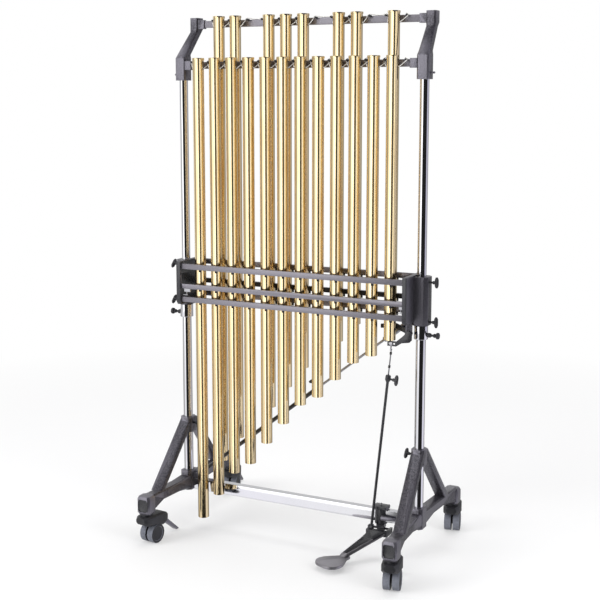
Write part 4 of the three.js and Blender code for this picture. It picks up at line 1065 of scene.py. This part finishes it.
class BELLS_OT_studio(bpy.types.Operator):
    """Floor, lamps and a white surround."""

    bl_idname = "bells.studio"
    bl_label = "Studio"

    def execute(self, context):
        looks = context.scene.stage_looks
        self.floor(looks)
        self.lamps(context, looks)
        self.surround(context)
        context.scene.view_settings.view_transform = "Standard"
        return {"FINISHED"}

    def floor(self, looks):
        sheet = Finish("pale_floor", roughness=0.9)
        point = sheet.place()
        grain = sheet.noise(point, 300, 3)
        far = sheet.add("ShaderNodeVectorMath", {"operation": "LENGTH"}, {0: point}, out=1)
        sheet.set(base_color=sheet.mix(grain, tuple(v * 0.99 for v in looks.floor), looks.floor))
        white = sheet.add("ShaderNodeEmission", {}, {"Color": (1, 1, 1), "Strength": 1.0})
        clear = sheet.add("ShaderNodeBsdfTransparent")
        path = sheet.tree.nodes.new("ShaderNodeLightPath")
        seen, glossy = Wire(sheet, path.outputs["Is Camera Ray"]), Wire(sheet, path.outputs["Is Glossy Ray"])
        fade = (0.35 + sheet.clamp(far, 1.0, 3.2, 0, 0.65)) * seen
        body = Wire(sheet, sheet.shader.outputs[0])
        lit = sheet.add("ShaderNodeMixShader", {}, {0: fade, 1: body, 2: white})
        shown = sheet.add("ShaderNodeMixShader", {}, {0: glossy, 1: lit, 2: clear})
        sheet.tree.links.new(shown.socket, sheet.tree.nodes["Material Output"].inputs["Surface"])
        form = bmesh.new()
        bmesh.ops.create_circle(form, cap_ends=True, radius=looks.reach, segments=96)
        mesh = bpy.data.meshes.new("studio_floor")
        form.to_mesh(mesh)
        form.free()
        mesh.materials.append(sheet.material)
        floor = bpy.data.objects.new("studio_floor", mesh)
        bpy.context.scene.collection.objects.link(floor)

    def lamps(self, context, looks):
        aim = Vector((0, POLE_Y, 0.9))
        tubes = bpy.data.collections.new("brass_tubes")
        for name in NODES:
            if name.startswith("bell_"):
                tubes.objects.link(bpy.data.objects[f"{name}_tube"])
        for name, start, end, glow in STRIPS:
            turn, half = math.radians((start + end) / 2), math.radians(abs(end - start) / 2)
            data = bpy.data.lights.new(name, "AREA")
            data.shape = "RECTANGLE"
            data.size, data.size_y = 2 * STRIP_DISTANCE * math.tan(half), STRIP_HEIGHT
            data.energy = glow * math.pi * data.size * STRIP_HEIGHT
            lamp = bpy.data.objects.new(name, data)
            lamp.location = (STRIP_DISTANCE * math.cos(turn), STRIP_DISTANCE * math.sin(turn), STRIP_MIDDLE)
            inwards = Vector((0, 0, STRIP_MIDDLE)) - lamp.location
            lamp.rotation_euler = inwards.to_track_quat("-Z", "Y").to_euler()
            lamp.visible_camera = lamp.visible_diffuse = False
            lamp.light_linking.receiver_collection = tubes
            context.scene.collection.objects.link(lamp)
        for name, power, place, width, height in (
            ("key_lamp", looks.key, (-2.6, -3.2, 2.6), 2.0, 2.4),
            ("fill_lamp", looks.fill, (3.4, -1.2, 1.8), 1.6, 2.2),
            ("top_lamp", looks.top, (0.2, 0.4, 4.2), 2.6, 2.6),
        ):
            data = bpy.data.lights.new(name, "AREA")
            data.shape = "RECTANGLE"
            data.size, data.size_y, data.energy = width, height, power
            lamp = bpy.data.objects.new(name, data)
            lamp.location = place
            lamp.rotation_euler = (aim - Vector(place)).to_track_quat("-Z", "Y").to_euler()
            lamp.visible_glossy = False
            context.scene.collection.objects.link(lamp)

    def surround(self, context):
        """White for the camera, even light on the object, and softboxes for what is polished."""
        world = bpy.data.worlds.new("white_surround")
        world.use_nodes = True
        context.scene.world = world
        sheet = Sheet(world.node_tree)
        direction = sheet.add("ShaderNodeTexCoord")
        split = sheet.tree.nodes.new("ShaderNodeSeparateXYZ")
        sheet.feed(split.inputs[0], direction)
        x, y, z = (Wire(sheet, socket) for socket in split.outputs)
        turn = x.math("ARCTAN2", y, x) / (2 * math.pi) + 0.5
        level = sheet.add("ShaderNodeValToRGB", {}, {"Fac": turn}, self.stops(LEVEL_PANELS))
        low = sheet.add("ShaderNodeValToRGB", {}, {"Fac": turn}, self.stops(LOW_PANELS))
        panels = sheet.mix(sheet.clamp(z, -0.24, -0.18), low, level)
        panels = sheet.mix(sheet.clamp(z, 0.87, 0.96), panels, (0.16, 0.155, 0.17))
        panels = sheet.mix(sheet.clamp(z, -0.62, -0.50), (0.60, 0.60, 0.62), panels)
        path = sheet.tree.nodes.new("ShaderNodeLightPath")
        seen, glossy = Wire(sheet, path.outputs["Is Camera Ray"]), Wire(sheet, path.outputs["Is Glossy Ray"])
        plain = sheet.mix(glossy, (0.62, 0.62, 0.63), panels)
        shade = sheet.mix(seen, plain, (1, 1, 1))
        background = sheet.tree.nodes["Background"]
        sheet.feed(background.inputs["Color"], shade)
        background.inputs["Strength"].default_value = 1

    def stops(self, panels):
        return [((turn + 180) / 360, shade) for turn, shade in panels]


# Strip lamps that only the brass tubes take: from and to a turn in degrees, and how bright
STRIPS = (("strip_white", -99, -75, 2.3), ("strip_dim", -73, -41, 0.10), ("strip_line", -38, -17, 1.4),
          ("strip_gold", -15, 6, 0.5))
# Softboxes and dark gaps round the studio, by turn in degrees: level with the object, and lower down
LEVEL_PANELS = [
    (-180, 0.42), (-152, 0.46), (-138, 0.62), (-124, 1.6), (-103, 1.85), (-97, 0.018), (-2, 0.014),
    (6, (0.56, 0.55, 0.66, 1)), (34, (0.58, 0.57, 0.68, 1)), (52, 0.34), (84, 0.34), (102, 0.62),
    (138, 0.62), (150, 1.0), (170, 1.0),
]
LOW_PANELS = [
    (-180, 0.45), (-152, 0.55), (-141, 0.92), (-128, (1.0, 0.99, 1.04, 1)), (-103, 1.0), (-97, 0.018),
    (-13, 0.014), (-5, (0.86, 0.85, 0.94, 1)), (34, (0.82, 0.80, 0.90, 1)), (52, 0.34), (116, 0.30),
    (142, 0.36),
]


PIECES = (BELLS_OT_tubes, BELLS_OT_cords, BELLS_OT_rails, BELLS_OT_brackets, BELLS_OT_poles, BELLS_OT_frames,
          BELLS_OT_brace, BELLS_OT_casters, BELLS_OT_damper, BELLS_OT_pedal, BELLS_OT_camera, BELLS_OT_studio)


class BELLS_PT_panel(bpy.types.Panel):
    """Buttons for every group of pieces, and their sizes and colours."""

    bl_label = "Tubular bells"
    bl_idname = "BELLS_PT_panel"
    bl_space_type = "VIEW_3D"
    bl_region_type = "UI"
    bl_category = "Bells"

    def draw(self, context):
        for piece in PIECES:
            self.layout.operator(piece.bl_idname)
        for group in (context.scene.bell_looks, context.scene.stand_looks, context.scene.stage_looks):
            box = self.layout.box()
            for name in group.__annotations__:
                box.prop(group, name)


CLASSES = (BellLooks, StandLooks, StageLooks, *PIECES, BELLS_PT_panel)


def register():
    for kind in CLASSES:
        bpy.utils.register_class(kind)
    bpy.types.Scene.bell_looks = PointerProperty(type=BellLooks)
    bpy.types.Scene.stand_looks = PointerProperty(type=StandLooks)
    bpy.types.Scene.stage_looks = PointerProperty(type=StageLooks)


def unregister():
    for name in ("bell_looks", "stand_looks", "stage_looks"):
        delattr(bpy.types.Scene, name)
    for kind in reversed(CLASSES):
        bpy.utils.unregister_class(kind)


def main():
    register()
    bpy.ops.bells.camera()
    bpy.ops.bells.cords()
    bpy.ops.bells.tubes()
    bpy.ops.bells.rails()
    bpy.ops.bells.brackets()
    bpy.ops.bells.poles()
    bpy.ops.bells.frames()
    bpy.ops.bells.brace()
    bpy.ops.bells.casters()
    bpy.ops.bells.damper()
    bpy.ops.bells.pedal()
    bpy.ops.bells.studio()


if __name__ == "__main__":
    main()
